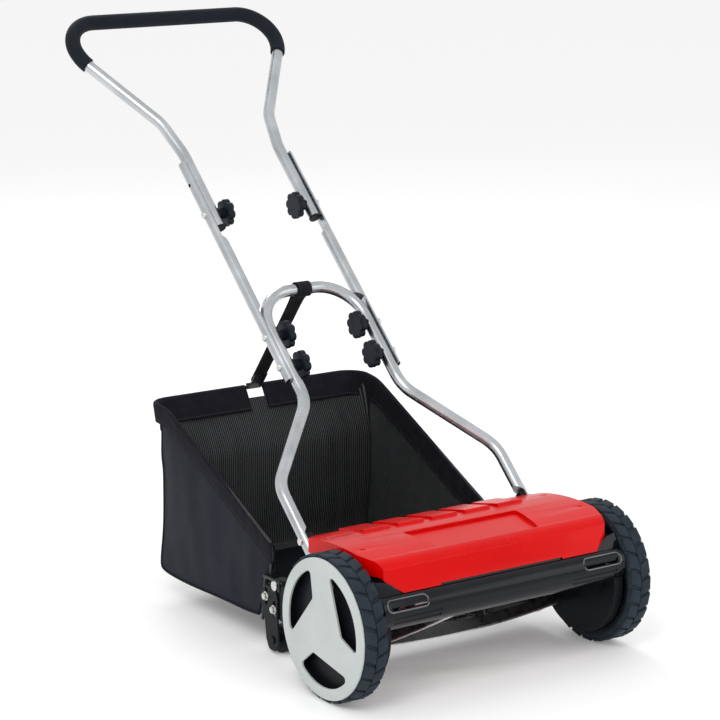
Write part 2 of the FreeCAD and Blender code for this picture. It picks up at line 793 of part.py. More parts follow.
def makeHeightBolts():
    """Coach bolts through the side plate with a washer and nut outside the slotted bracket,
    and the two studs that the bag hangs on."""
    pieces = []
    for y, z in heightBolts:
        shank = rod(plateInner, bracketOuter + 6, y, z, boltRadius)
        head = rod(plateInner - 2.5, plateInner, y, z, 6.5)
        washer = rod(bracketOuter + 0.1, bracketOuter + 1.3, y, z, 7)
        corners = [(y + 5.6 * cos(pi / 3 * k), z + 5.6 * sin(pi / 3 * k)) for k in range(6)]
        nut = plate(corners, 0, bracketOuter + 1.3, bracketOuter + 5)
        pieces.append(fused([shank, head, washer, nut]))
    stud = rod(plateInner + 4, plateOuter + 11.5, studY, studZ, studRadius)
    flange = rod(plateOuter + 10, plateOuter + 12, studY, studZ, 7.5)
    pieces.append(fused([stud, flange]))
    return pieces + [mirrored(piece) for piece in pieces]


def makeRollerShaft():
    z = rollerRadius
    shaft = rod(-bracketOuter, bracketOuter, rollerY, z, rollerBore)
    ends = []
    for side in (-1, 1):
        corners = [(rollerY + 6.5 * cos(pi / 3 * k), z + 6.5 * sin(pi / 3 * k)) for k in range(6)]
        inner = plate(corners, 0, bracketInner - 6, bracketInner)
        outer = rod(bracketOuter, bracketOuter + 2.5, rollerY, z, 6.5)
        for piece in (inner, outer):
            ends.append(piece if side > 0 else mirrored(piece))
    return fused([shaft] + ends)


def makeRollers():
    count = 4
    gap = 1.5
    total = 2 * (bracketInner - 8)
    length = (total - gap * (count - 1)) / count
    rollers = []
    for k in range(count):
        x0 = -total / 2 + k * (length + gap)
        body = ring(x0, x0 + length, rollerY, rollerRadius, rollerRadius, rollerBore + 0.05)
        rim = [e for e in body.Edges if e.Curve.TypeId == "Part::GeomCircle" and e.Curve.Radius > 20]
        rollers.append(body.makeFillet(2, rim))
    return rollers


# ---- handle --------------------------------------------------------------------------------------

def pressTool(side, flat, s0, s1, slope0, slope1, grow):
    """Block that presses a tube flat on its inner side; grow leaves the wall's thickness."""
    inner = flat - 30
    run = 15.0
    near = flat + grow
    points = []
    if slope0:
        points += [(near - 13, s0 - run - grow), (near, s0 - grow)]
    else:
        points += [(near, s0 - 5)]
    if slope1:
        points += [(near, s1 + grow), (near - 13, s1 + run + grow), (inner, s1 + run + grow)]
    else:
        points += [(near, s1 + 5), (inner, s1 + 5)]
    points += [(inner, s0 - run - grow)]
    corners = [onHandle(side * x, s, -20) for x, s in points]
    rise = onHandle(0, 0, 20) - onHandle(0, 0, -20)
    return Part.Face(Part.makePolygon(corners + [corners[0]])).extrude(rise)


def boltHole(s, radius, x0, x1):
    point = onHandle(0, s)
    return rod(x0, x1, point.y, point.z, radius)


def bothSides(s, radius, x0, x1):
    return [boltHole(s, radius, x0, x1), boltHole(s, radius, -x1, -x0)]


def makeLowerHandle():
    half = [(legSpread, -155.0), (legSpread, 0.0), (stageSpread, 136.0), (stageSpread, archTop)]
    points = [onHandle(x, s) for x, s in half] + [onHandle(-x, s) for x, s in reversed(half)]
    bends = [60, 60, archBend, archBend, 60, 60]
    outer = sweep(points, bends, tubeRadius)
    core = sweep(points, bends, tubeRadius - tubeWall)
    for side in (-1, 1):
        outer = outer.cut(pressTool(side, plateOuter, -175, -90, False, True, 0))
        core = core.cut(pressTool(side, plateOuter, -175, -90, False, True, tubeWall))
    tube = outer.cut(core)
    tools = []
    for s in footBolts:
        tools += bothSides(s, boltRadius, 180, 220)
    for s in stageBolts:
        tools += bothSides(s, boltRadius, 70, 120)
    return tube.cut(Part.makeCompound(tools))


def makeMiddleTube():
    low, high = middleEnds
    direction = onHandle(0, 1) - onHandle(0, 0)
    outer = Part.makeCylinder(tubeRadius, high - low, onHandle(middleSpread, low), direction)
    core = Part.makeCylinder(tubeRadius - tubeWall, high - low, onHandle(middleSpread, low), direction)
    for grow in (0, tubeWall):
        lower = pressTool(1, pressedFlat, low, 308, False, True, grow)
        upper = pressTool(1, pressedFlat, 457, high, True, False, grow)
        if grow:
            core = core.cut(lower).cut(upper)
        else:
            outer = outer.cut(lower).cut(upper)
    tube = outer.cut(core)
    tools = [boltHole(s, boltRadius, 80, 120) for s in stageBolts + (foldBolt,)]
    tools.append(boltHole(spareHole, boltRadius + 0.2, 80, 120))
    return tube.cut(Part.makeCompound(tools))


flareStart = 630.0           # the legs run straight as far as this, past the middle tubes
knee = (104.0, 697.0)
gripBend = (190.0, 838.0)
gripStart = 829.0
gripBendRadius = 56.0


def upperPath(first):
    half = first + [gripBend, (gripCorner, gripTop)]
    points = [onHandle(x, s) for x, s in half]
    return points + [onHandle(-x, s) for x, s in reversed(half)]


def makeUpperHandle():
    points = upperPath([(stageSpread, upperStart), (stageSpread, flareStart), knee])
    bends = [90, 60, 60, gripBendRadius, gripBendRadius, 60, 60, 90]
    tube = tubeRun(points, bends, tubeRadius, tubeRadius - tubeWall)
    return tube.cut(Part.makeCompound(bothSides(foldBolt, boltRadius + 0.05, 70, 120)))


def makeGrip():
    t = (gripStart - knee[1]) / (gripBend[1] - knee[1])
    start = (knee[0] + (gripBend[0] - knee[0]) * t, gripStart)
    points = upperPath([start])
    bends = [60, gripBendRadius, gripBendRadius, 60]
    return tubeRun(points, bends, gripRadius, tubeRadius)


def makeTubePlug():
    along = onHandle(0, 1) - onHandle(0, 0)
    cap = Part.makeCylinder(tubeRadius, 3, onHandle(stageSpread, upperStart - 3), along)
    stem = Part.makeCylinder(tubeRadius - tubeWall, 12, onHandle(stageSpread, upperStart), along)
    return fused([cap, stem])


knobInner = 79.3             # the hub's face against its washer
knobStar = 74.0
knobEnd = 62.0


def makeHandleBolt(s):
    """Round-headed bolt whose head is shaped to the tube."""
    point = onHandle(0, s)
    outside = middleSpread + tubeRadius
    shank = rod(knobEnd + 3, outside, point.y, point.z, boltRadius)
    head = rod(outside - 2, outside + 2.6, point.y, point.z, 6)
    head = head.makeFillet(2, [e for e in head.Edges if abs(e.BoundBox.XMin - outside - 2.6) < 1e-6])
    along = onHandle(0, 1) - onHandle(0, 0)
    tube = Part.makeCylinder(tubeRadius, 60, onHandle(middleSpread, s - 30), along)
    return fused([shank, head.cut(tube)])


def makeSaddle(s):
    """Washer between knob and tube, shaped to the tube on one side."""
    point = onHandle(0, s)
    along = onHandle(0, 1) - onHandle(0, 0)
    blank = ring(knobInner + 0.1, stageSpread - 4, point.y, point.z, 8, boltRadius + 0.05)
    return blank.cut(Part.makeCylinder(tubeRadius, 60, onHandle(stageSpread, s - 30), along))


def makeKnob(s):
    """Fluted clamping knob with a hub and a blind bore."""
    point = onHandle(0, s)
    flutes = 18
    star = rod(knobEnd, knobStar, point.y, point.z, 23)
    star = star.makeFillet(3, [e for e in star.Edges if abs(e.BoundBox.XLength) < 1e-6])
    tools = []
    for k in range(flutes):
        angle = 2 * pi * k / flutes
        tools.append(rod(knobEnd - 1, knobStar + 1, point.y + 24.2 * cos(angle),
                         point.z + 24.2 * sin(angle), 2.3))
    star = star.cut(Part.makeCompound(tools))
    hub = rod(knobStar - 2, knobInner, point.y, point.z, 9)
    bore = rod(knobEnd + 2.5, knobInner + 1, point.y, point.z, boltRadius + 0.05)
    return fused([star, hub]).cut(bore)


def makeFootBolts():
    bolts = []
    for s in footBolts:
        point = onHandle(0, s)
        outside = legSpread + tubeRadius
        nutted = s == footBolts[-1]
        start = plateInner - 5 if nutted else plateInner + 0.2
        shank = rod(start, outside, point.y, point.z, boltRadius)
        along = onHandle(0, 1) - onHandle(0, 0)
        tube = Part.makeCylinder(tubeRadius, 60, onHandle(legSpread, s - 30), along)
        head = rod(outside - 2, outside + 2, point.y, point.z, 5.5).cut(tube)
        pieces = [shank, head]
        if nutted:
            corners = [(point.y + 5.6 * cos(pi / 3 * k), point.z + 5.6 * sin(pi / 3 * k)) for k in range(6)]
            pieces.append(plate(corners, 0, plateInner - 4.5, plateInner))
        bolt = fused(pieces)
        bolts += [bolt, mirrored(bolt)]
    return bolts


# ---- grass bag -------------------------------------------------------------------------------------

wireHalf = bagHalf - fabricThick / 2
rimFront = (225.0, 168.0)
rimKnee = (532.0, 315.0)
wireFront = ((256.0, 44.0), (247.0, 112.0), (232.0, 124.0))
hookPlane = plateOuter + 6.5
rimBends = (20, 60, 35)


def bagOutline(offset, open_by):
    """Side outline of the bag: offset moves the walls in, open_by runs it out of the mouth and top."""
    front = 3.2 - open_by
    return [(262 + front, 45 + offset), (250 + front, 110), (236 + front, 122),
            (rimFront[0] + 4 + front, rimFront[1] - 2 + open_by),
            (rimKnee[0] - 2, rimKnee[1] - 5.2 + open_by), (bagRear + 1.2 - offset, bagRim - 5.2 + open_by),
            (bagKink[0] - offset, bagKink[1]), (bagKink[0] + 1 - offset, 120), (561 - offset, 45 + offset),
            (480, 40 + offset), (370, 45 + offset)]


def makeBagFabric():
    outer = plate(bagOutline(0, 0), [0, 4, 4, 6, 40, 0, 60, 150, 8, 200, 300], -bagHalf, bagHalf)
    side = bagHalf - fabricThick
    inner = plate(bagOutline(fabricThick, 60), [0, 0, 0, 0, 0, 0, 60, 150, 6, 200, 300], -side, side)
    shell = outer.cut(inner)
    rim = sweep(*rimPath(), bagWire + 0.05)
    wire = makeBagWire(0.05)
    notch = box(-15, 15, bagRear - 30, bagRear + 20, bagRim - 20, bagRim + 20)
    return shell.cut(rim).cut(wire).cut(notch)


def rimPath():
    half = [wireFront[0], wireFront[1], wireFront[2], rimFront, rimKnee, (bagRear, bagRim)]
    points = [V(wireHalf, y, z) for y, z in half]
    points += [V(-wireHalf, y, z) for y, z in reversed(half)]
    bends = [12, 12] + list(rimBends)
    return points, bends + bends[::-1]


def makeBagWire(grow=0.0):
    """Rim wire with a hook at each front corner that hangs over a stud."""
    rim = sweep(*rimPath(), bagWire + grow)
    z = studZ + studRadius + 0.05 + bagWire
    front = studY - studRadius - 0.05 - bagWire
    t = (z - wireFront[1][1]) / (wireFront[2][1] - wireFront[1][1])
    start = wireFront[1][0] + (wireFront[2][0] - wireFront[1][0]) * t
    points = [V(wireHalf, start, z), V(hookPlane, start, z), V(hookPlane, front, z),
              V(hookPlane, front, z - 15)]
    hook = sweep(points, [4, studZ + studRadius + 0.05 + bagWire - studZ], bagWire + grow)
    return fused([rim, hook, mirrored(hook)])


def makeBagHem():
    """Band sewn over the rim wire, open in the middle of the rear where the strap hooks on."""
    deep = 28.0
    thick = 4.0
    slant = (deep - 4) * (bagRear - bagKink[0]) / (bagRim - bagKink[1])
    outline = [(rimFront[0] + 7, rimFront[1] + 5.5), (rimKnee[0] - 3, rimKnee[1] + 4),
               (bagRear + thick, bagRim + 4), (bagRear + thick, bagRim - 4),
               (bagRear + thick - slant, bagRim - deep),
               (rimKnee[0] + 10, rimKnee[1] - deep - 4), (rimFront[0] + 9, rimFront[1] - deep + 5)]
    radii = [3, 60, 3, 0, 0, 40, 3]
    half = wireHalf + thick
    outer = plate(outline, radii, -half, half)
    face = bagRear - thick
    hollow = [(150, 100), (150, 400), (face, 400), (face, bagRim - 4), (face - slant, bagRim - deep),
              (face - 2 * slant, 100)]
    inner = plate(hollow, 0, -wireHalf + thick, wireHalf - thick)
    band = outer.cut(inner)
    gap = box(-16, 16, bagRear - 40, bagRear + 20, bagRim - 60, bagRim + 20)
    return band.cut(gap).cut(makeBagFabric()).cut(makeBagWire(0.0))


def makeBagBase():
    """Stiff board lying on the bottom of the bag."""
    low = 40 + fabricThick + 0.6
    outline = [(272, low + 5.0), (370, low + 5.0), (480, low), (536, low + 3.6), (536, low + 5.6),
               (480, low + 2.0), (370, low + 7.0), (272, low + 7.0)]
    return plate(outline, [0, 300, 200, 0, 0, 200, 300, 0], -bagHalf + 12, bagHalf - 12)


strapHalf = 12.5


def strapAxes():
    """Unit vectors along the strap, upwards, and across it, towards the rear."""
    top = onHandle(0, archTop)
    low = V(0, bagRear, bagRim)
    along = (top - low).normalize()
    across = V(0, along.z, -along.y)
    return top, low, along, across


def strapPoint(u, w):
    top, low, along, across = strapAxes()
    return low + along * u + across * w


def stripPrism(points, half):
    corners = [strapPoint(u, w) for u, w in points]
    face = Part.Face(Part.makePolygon(corners + [corners[0]]))
    face.translate(V(-half, 0, 0))
    return face.extrude(V(2 * half, 0, 0))


def makeStrap():
    """Webbing strap: a loop over the arch and two plies down to the hook."""
    top, low, along, across = strapAxes()
    length = (top - low).Length
    loop = ring(-strapHalf, strapHalf, top.y, top.z - 0.4, 12.9, 10.9)
    ribbon = stripPrism([(18, -2.95), (length - 10.5, -1.2), (length - 10.5, 1.8), (18, 0.05)], strapHalf)
    return fused([loop, ribbon.cut(rod(-20, 20, top.y, top.z - 0.4, 10.9))])


def makeStrapHook():
    """Steel hook that carries the rear of the rim wire, open towards the rear."""
    inner = bagWire + 0.05
    wall = 2.0
    outer = inner + wall
    back = stripPrism([(14, -3.2), (34, -3.2), (34, -5.2), (14, -5.2)], strapHalf)
    centre = strapPoint(0, 0)
    cup = ring(-strapHalf, strapHalf, centre.y, centre.z, outer, inner)
    cup = cup.cut(stripPrism([(0, -20), (20, -20), (20, 20), (0, 20)], strapHalf + 1))
    leg = stripPrism([(0, -inner), (14, -inner), (14, -outer), (0, -outer)], strapHalf)
    joggle = stripPrism([(14, -inner), (17, -3.2), (17, -5.2), (14, -outer)], strapHalf)
    tip = stripPrism([(0, outer), (0, inner), (2.5, inner + 1.2), (2.5, outer + 1.2)], strapHalf)
    return fused([back, cup, leg, joggle, tip])


# ---- build and write --------------------------------------------------------------------------------

def pairedNodes(name, shape):
    return {name + "_left": shape, name + "_right": mirrored(shape)}


def buildNodes():
    nodes = {}
    nodes.update(pairedNodes("side_plate", makeSidePlate()))
    nodes["front_bar"] = makeFrontBar()
    nodes["front_bar_screws"] = makeBarScrews()
    nodes["top_cover"] = makeTopCover()
    nodes["cover_screws"] = makeCoverScrews()
    nodes["tie_rod"] = makeTieRod()
    nodes["bed_knife"] = makeBedKnife()
    nodes["knife_carrier"] = makeCarrier()
    nodes["knife_screws"] = makeKnifeScrews()
    nodes["carrier_bolts"] = makeCarrierBolts()
    nodes.update(pairedNodes("axle", makeAxle()))
    retainers = makeAxleRetainers()
    nodes["axle_retainers"] = retainers + [mirrored(piece) for piece in retainers]
    nodes.update(pairedNodes("gear_cover", makeGearCover()))
    nodes.update(pairedNodes("reel_bush", makeReelBush()))

    blades = [makeBlade(180.5 + 360 / bladeCount * k) for k in range(bladeCount)]
    nodes["reel_shaft"] = makeReelShaft()
    nodes["reel_blades"] = blades
    nodes["reel_spiders"] = [makeSpider(x, Part.makeCompound(blades)) for x in spiderPlaces]
    nodes.update(pairedNodes("pinion", makePinion(pinionStart)))
    nodes["drive_pawls"] = [makePawl(1, 2.4), makePawl(-1, 0)]
    nodes["shaft_clips"] = [makeShaftClip(1), makeShaftClip(-1)]

    nodes.update(pairedNodes("wheel", makeWheel()))
    nodes.update(pairedNodes("tyre", makeTyre()))
    nodes.update(pairedNodes("wheel_trim", makeTrim()))
    bush = ring(hubSpan[0], hubSpan[1], 0, axleHeight, hubBush, axleRadius + runningFit)
    nodes.update(pairedNodes("wheel_bush", bush))

    nodes.update(pairedNodes("roller_bracket", makeBracket()))
    nodes["height_bolts"] = makeHeightBolts()
    nodes["roller_shaft"] = makeRollerShaft()
    nodes["roller_segments"] = makeRollers()

    nodes["lower_handle"] = makeLowerHandle()
    nodes["foot_bolts"] = makeFootBolts()
    nodes.update(pairedNodes("middle_tube", makeMiddleTube()))
    nodes["upper_handle"] = makeUpperHandle()
    nodes["handle_grip"] = makeGrip()
    plug = makeTubePlug()
    nodes["tube_plugs"] = [plug, mirrored(plug)]
    bolts = [makeHandleBolt(s) for s in stageBolts + (foldBolt,)]
    nodes["handle_bolts"] = bolts + [mirrored(bolt) for bolt in bolts]
    saddles = [makeSaddle(s) for s in stageBolts]
    nodes["saddle_washers"] = saddles + [mirrored(saddle) for saddle in saddles]
    foldSaddle = makeSaddle(foldBolt)
    nodes["fold_washers"] = [foldSaddle, mirrored(foldSaddle)]
    for name, s in (("fold", foldBolt), ("upper", stageBolts[0]), ("lower", stageBolts[1])):
        nodes.update(pairedNodes("star_knob_" + name, makeKnob(s)))

    nodes["strap"] = makeStrap()
    nodes["strap_hook"] = makeStrapHook()
    nodes["bag_wire"] = makeBagWire()
    nodes["bag_fabric"] = makeBagFabric()
    nodes["bag_hem"] = makeBagHem()
    nodes["bag_base"] = makeBagBase()
    return nodes


os.makedirs("parts", exist_ok=True)
for name, shape in buildNodes().items():
    if isinstance(shape, list):
        shape = Part.makeCompound(shape)
    solids = shape.Solids
    shape = solids[0] if len(solids) == 1 else Part.makeCompound(solids)
    print(name, len(solids), "solid" if len(solids) == 1 else "solids", round(shape.Volume, 1),
          "" if shape.isValid() else "NOT VALID")
    shape.exportStep("parts/" + name + ".step")
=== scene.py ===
import json
import math
import bmesh
import bpy
from mathutils import Matrix, Vector, noise
from mathutils.bvhtree import BVHTree


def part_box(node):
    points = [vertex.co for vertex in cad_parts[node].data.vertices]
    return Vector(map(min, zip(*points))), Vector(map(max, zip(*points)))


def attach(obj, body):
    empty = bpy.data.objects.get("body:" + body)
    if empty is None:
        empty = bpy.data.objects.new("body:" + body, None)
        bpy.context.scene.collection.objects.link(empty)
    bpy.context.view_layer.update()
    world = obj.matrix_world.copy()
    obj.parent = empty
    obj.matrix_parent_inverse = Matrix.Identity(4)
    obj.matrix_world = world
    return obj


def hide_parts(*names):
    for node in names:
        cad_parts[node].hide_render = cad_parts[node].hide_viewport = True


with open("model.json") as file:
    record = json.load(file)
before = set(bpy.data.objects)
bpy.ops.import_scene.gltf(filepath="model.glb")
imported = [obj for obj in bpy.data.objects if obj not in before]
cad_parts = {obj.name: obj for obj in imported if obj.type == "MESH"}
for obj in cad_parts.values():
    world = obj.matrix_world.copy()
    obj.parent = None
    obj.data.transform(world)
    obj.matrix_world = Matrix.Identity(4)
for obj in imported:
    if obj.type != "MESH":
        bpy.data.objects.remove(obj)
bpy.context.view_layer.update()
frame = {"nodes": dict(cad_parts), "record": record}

nodes = frame["nodes"]
fullTurn = 2 * math.pi
tiny = 0.00001               # points nearer than this, in metres, are merged
shortest = 1e-9              # keeps a length that is divided by from being nothing


def sideName(sign):
    return "left" if sign > 0 else "right"


def clamp(value):
    return min(max(value, 0.0), 1.0)


# camera and stage

view = {
    "place": (-2.23374, -2.94282, 1.30160),
    "heading": (0.55497, 0.80247, -0.21920),
    "lens": 129.44, "sensor": 36.0, "farthest": 60.0,
}


def makeCamera():
    data = bpy.data.cameras.new("camera")
    data.lens = view["lens"]
    data.sensor_width = view["sensor"]
    data.clip_end = view["farthest"]
    camera = bpy.data.objects.new("camera", data)
    bpy.context.scene.collection.objects.link(camera)
    camera.rotation_mode = "QUATERNION"
    camera.location = view["place"]
    camera.rotation_quaternion = Vector(view["heading"]).to_track_quat("-Z", "Y")
    bpy.context.scene.camera = camera


makeCamera()
print("camera set")


# finishes

noiseBand = (0.3, 0.7)       # most of a noise's values lie between these


class Signal:  # a socket that can be added, multiplied and so on
    def __init__(self, finish, socket):
        self.finish = finish
        self.socket = socket

    def sum(self, operation, first, second=0.0):
        return self.finish.node("ShaderNodeMath", {"operation": operation}, {0: first, 1: second})

    def __add__(self, other):
        return self.sum("ADD", self, other)

    def __radd__(self, other):
        return self.sum("ADD", other, self)

    def __sub__(self, other):
        return self.sum("SUBTRACT", self, other)

    def __rsub__(self, other):
        return self.sum("SUBTRACT", other, self)

    def __mul__(self, other):
        return self.sum("MULTIPLY", self, other)

    def __rmul__(self, other):
        return self.sum("MULTIPLY", other, self)

    def __pow__(self, other):
        return self.sum("POWER", self, other)

    def __rpow__(self, other):
        return self.sum("POWER", other, self)

    def __gt__(self, other):
        return self.sum("GREATER_THAN", self, other)

    def does(self, operation, other=0.0):
        return self.sum(operation, self, other)


class Finish:  # one material, built round a principled shader
    def __init__(self, name, settings):
        self.material = bpy.data.materials.new(name)
        self.material.use_nodes = True
        self.tree = self.material.node_tree
        self.tree.nodes.clear()
        self.shader = self.tree.nodes.new("ShaderNodeBsdfPrincipled")
        output = self.tree.nodes.new("ShaderNodeOutputMaterial")
        self.tree.links.new(self.shader.outputs[0], output.inputs["Surface"])
        for socket, value in settings.items():
            self.shader.inputs[socket].default_value = value

    def node(self, kind, settings=None, sockets=None, output=0):
        made = self.tree.nodes.new(kind)
        for name, value in (settings or {}).items():
            setattr(made, name, value)
        for name, value in (sockets or {}).items():
            if isinstance(value, Signal):
                self.tree.links.new(value.socket, made.inputs[name])
            else:
                made.inputs[name].default_value = value
        return Signal(self, made.outputs[output])

    def place(self, scale=(1, 1, 1), turn=(0, 0, 0)):
        raw = self.node("ShaderNodeTexCoord", output="Object")
        return self.node("ShaderNodeMapping", {}, {"Vector": raw, "Scale": scale, "Rotation": turn})

    def noise(self, place, scale, detail=3.0, rough=0.5, warp=0.0):
        return self.node("ShaderNodeTexNoise", {},
                         {"Vector": place, "Scale": scale, "Detail": detail,
                          "Roughness": rough, "Distortion": warp})

    def spread(self, value, low, high, newLow=0.0, newHigh=1.0):
        return self.node("ShaderNodeMapRange", {"clamp": True},
                         {"Value": value, "From Min": low, "From Max": high,
                          "To Min": newLow, "To Max": newHigh})

    def blend(self, factor, first, second):
        return self.node("ShaderNodeMix", {"data_type": "RGBA"},
                         {0: factor, 6: first, 7: second}, 2)

    def parts(self, vector):
        split = self.tree.nodes.new("ShaderNodeSeparateXYZ")
        self.tree.links.new(vector.socket, split.inputs[0])
        return [Signal(self, split.outputs[i]) for i in range(3)]

    def feed(self, socket, signal):
        self.tree.links.new(signal.socket, self.shader.inputs[socket])

    def bump(self, height, depth, strength=1.0, under=None):
        sockets = {"Height": height, "Distance": depth, "Strength": strength}
        if under is not None:
            sockets["Normal"] = under
        return self.node("ShaderNodeBump", {}, sockets)


def rgb(r, g, b):
    return (r, g, b, 1.0)


def moulded(name, look):
    # moulded plastic: fine grain, cloudy gloss and a little pale dust in patches
    finish = Finish(name, {"Metallic": 0.0, "IOR": 1.48,
                           "Specular IOR Level": look.get("specular", 0.5)})
    place = finish.place()
    cloud = finish.noise(place, look["cloudScale"], detail=4.0)
    fine = finish.noise(place, look["grainScale"], detail=2.0)
    scuff = finish.noise(place, look["scuffScale"], detail=6.0, rough=0.7)
    scuff = finish.spread(scuff, low=0.56, high=0.78)
    tone = finish.blend(finish.spread(cloud, *noiseBand), look["dark"], look["light"])
    tone = finish.blend(scuff * look["scuff"], tone, look["scuffColour"])
    finish.feed("Base Color", tone)
    low, high = look["rough"]
    finish.feed("Roughness", finish.spread(cloud * 0.6 + scuff * 0.4, 0.2, 0.8, low, high))
    finish.feed("Normal", finish.bump(fine, look["grainDepth"], strength=0.5))
    if "coat" in look:
        finish.shader.inputs["Coat Weight"].default_value = look["coat"]
        finish.shader.inputs["Coat Roughness"].default_value = 0.04
    return finish.material


def metal(name, look):
    # drawn or machined metal: streaks along one direction, cloudy polish and small spots
    finish = Finish(name, {"Metallic": 1.0})
    place = finish.place(look["stretch"], look.get("turn", (0, 0, 0)))
    plain = finish.place()
    streak = finish.noise(place, look["streakScale"], detail=3.0)
    cloud = finish.noise(plain, look["cloudScale"], detail=4.0, rough=0.6)
    spots = finish.spread(finish.noise(plain, scale=900.0, detail=1.0), low=0.66, high=0.74)
    tone = finish.blend(finish.spread(cloud, *noiseBand), look["dark"], look["light"])
    tone = finish.blend(spots * look["spots"], tone, rgb(0.25, 0.24, 0.23))
    finish.feed("Base Color", tone)
    low, high = look["rough"]
    finish.feed("Roughness", finish.spread(streak * 0.5 + cloud * 0.5, *noiseBand, low, high))
    finish.feed("Normal", finish.bump(streak, look["depth"], strength=0.4))
    return finish.material


finishes = {
    "red": moulded("glossyRed", {
        "dark": rgb(0.56, 0.0, 0.0), "light": rgb(0.64, 0.0, 0.0), "cloudScale": 5.0,
        "specular": 0.14,
        "grainScale": 420.0, "grainDepth": 0.00004, "scuffScale": 26.0, "scuff": 0.05,
        "scuffColour": rgb(0.7, 0.18, 0.15), "rough": (0.26, 0.38), "coat": 0.05}),
    "gloss": moulded("glossyBlack", {
        "dark": rgb(0.002, 0.003, 0.005), "light": rgb(0.005, 0.006, 0.009), "cloudScale": 9.0,
        "specular": 0.2,
        "grainScale": 500.0, "grainDepth": 0.00004, "scuffScale": 30.0, "scuff": 0.10,
        "scuffColour": rgb(0.06, 0.065, 0.07), "rough": (0.14, 0.30), "coat": 0.08}),
    "black": moulded("satinBlack", {
        "dark": rgb(0.003, 0.004, 0.006), "light": rgb(0.008, 0.010, 0.013), "cloudScale": 14.0,
        "specular": 0.16,
        "grainScale": 1400.0, "grainDepth": 0.00012, "scuffScale": 45.0, "scuff": 0.14,
        "scuffColour": rgb(0.05, 0.05, 0.055), "rough": (0.40, 0.58)}),
    "knob": moulded("knobBlack", {
        "dark": rgb(0.002, 0.004, 0.008), "light": rgb(0.006, 0.010, 0.017), "cloudScale": 60.0,
        "specular": 0.2,
        "grainScale": 1800.0, "grainDepth": 0.0001, "scuffScale": 90.0, "scuff": 0.2,
        "scuffColour": rgb(0.06, 0.075, 0.09), "rough": (0.38, 0.55)}),
    "trim": moulded("silverGrey", {
        "dark": rgb(0.42, 0.455, 0.445), "light": rgb(0.50, 0.535, 0.52), "cloudScale": 11.0,
        "grainScale": 1600.0, "grainDepth": 0.00008, "scuffScale": 40.0, "scuff": 0.12,
        "scuffColour": rgb(0.33, 0.34, 0.33), "rough": (0.36, 0.52)}),
    "tube": metal("brightTube", {
        "dark": rgb(0.40, 0.42, 0.44), "light": rgb(0.58, 0.60, 0.62), "cloudScale": 16.0,
        "stretch": (1.0, 0.06, 1.0), "turn": (-0.7627, 0, 0), "streakScale": 900.0,
        "spots": 0.06, "rough": (0.22, 0.34), "depth": 0.00002}),
    "zinc": metal("zincPlate", {
        "dark": rgb(0.50, 0.51, 0.50), "light": rgb(0.74, 0.74, 0.71), "cloudScale": 140.0,
        "stretch": (1.0, 1.0, 1.0), "streakScale": 1500.0, "spots": 0.4,
        "rough": (0.25, 0.45), "depth": 0.00004}),
    "steel": metal("groundSteel", {
        "dark": rgb(0.40, 0.40, 0.40), "light": rgb(0.58, 0.57, 0.56), "cloudScale": 40.0,
        "stretch": (0.05, 1.0, 1.0), "streakScale": 1200.0, "spots": 0.5,
        "rough": (0.28, 0.5), "depth": 0.00005}),
    "bronze": metal("sinteredBronze", {
        "dark": rgb(0.30, 0.19, 0.08), "light": rgb(0.48, 0.33, 0.16), "cloudScale": 60.0,
        "stretch": (1.0, 1.0, 1.0), "streakScale": 2000.0, "spots": 0.6,
        "rough": (0.4, 0.6), "depth": 0.00005}),
    "wire": moulded("coatedWire", {
        "dark": rgb(0.007, 0.007, 0.009), "light": rgb(0.02, 0.02, 0.022), "cloudScale": 50.0,
        "grainScale": 900.0, "grainDepth": 0.00008, "scuffScale": 120.0, "scuff": 0.25,
        "scuffColour": rgb(0.2, 0.2, 0.2), "rough": (0.25, 0.45)}),
}


def rubber(name, look):
    # rubber or foam: fine pitted skin, dusty hollows and a bluish bloom
    finish = Finish(name, {"Metallic": 0.0, "Specular IOR Level": 0.18})
    place = finish.place()
    cloud = finish.noise(place, look["cloudScale"], detail=5.0, rough=0.6)
    pits = finish.noise(place, look["pitScale"], detail=3.0, rough=0.6)
    tone = finish.blend(finish.spread(cloud, low=0.32, high=0.68), look["dark"], look["light"])
    dusty = finish.spread(pits, low=0.6, high=0.75) * 0.3
    finish.feed("Base Color", finish.blend(dusty, tone, look["dust"]))
    finish.feed("Roughness", finish.spread(cloud, *noiseBand, *look["rough"]))
    finish.feed("Normal", finish.bump(pits, look["depth"], strength=0.7))
    return finish.material


def woven(name, look):
    # cloth whose threads follow its own map, with long vertical stripes of painted sheen and shade
    # mixed with random tone, and soft creases
    finish = Finish(name, {"Metallic": 0.0, "Sheen Weight": look["sheen"], "Sheen Roughness": 0.4,
                           "Specular IOR Level": 0.12})
    across, along = finish.parts(finish.node("ShaderNodeTexCoord", output="UV"))[:2]
    warp = (across * look["threads"]).does("SINE")
    weft = (along * look["threads"]).does("SINE")
    weave = weft * (1 - look["lines"]) * warp + weft * look["lines"]
    place = finish.place()
    cloud = finish.noise(place, look["cloudScale"], detail=4.0, rough=0.6)
    # stretched noise paints long vertical stripes of sheen and shade into the colour; the cloud
    # adds random tone
    sheenStripe = finish.noise(finish.place(look["sheenStripeStretch"]), look["sheenStripeScale"], detail=2.0)
    paintedSheenAndTone = finish.spread(sheenStripe * 0.6 + cloud * 0.4, low=0.35, high=0.65)
    tone = finish.blend(paintedSheenAndTone, look["dark"], look["light"])
    raised = finish.spread(weave, low=0.0, high=1.0) * look["open"]
    finish.feed("Base Color", finish.blend(raised, tone, look["thread"]))
    finish.feed("Roughness", finish.spread(cloud, *noiseBand, *look["rough"]))
    creases = finish.noise(place, look["creaseScale"], detail=3.0, rough=0.5, warp=0.6)
    creases = finish.bump(creases, look["crease"], strength=0.6)
    finish.feed("Normal", finish.bump(weave, look["depth"], strength=0.6, under=creases))
    return finish.material


stitching = {"turn": 6.2832, "gap": -0.2, "cloudScale": 60.0, "strength": 0.8}


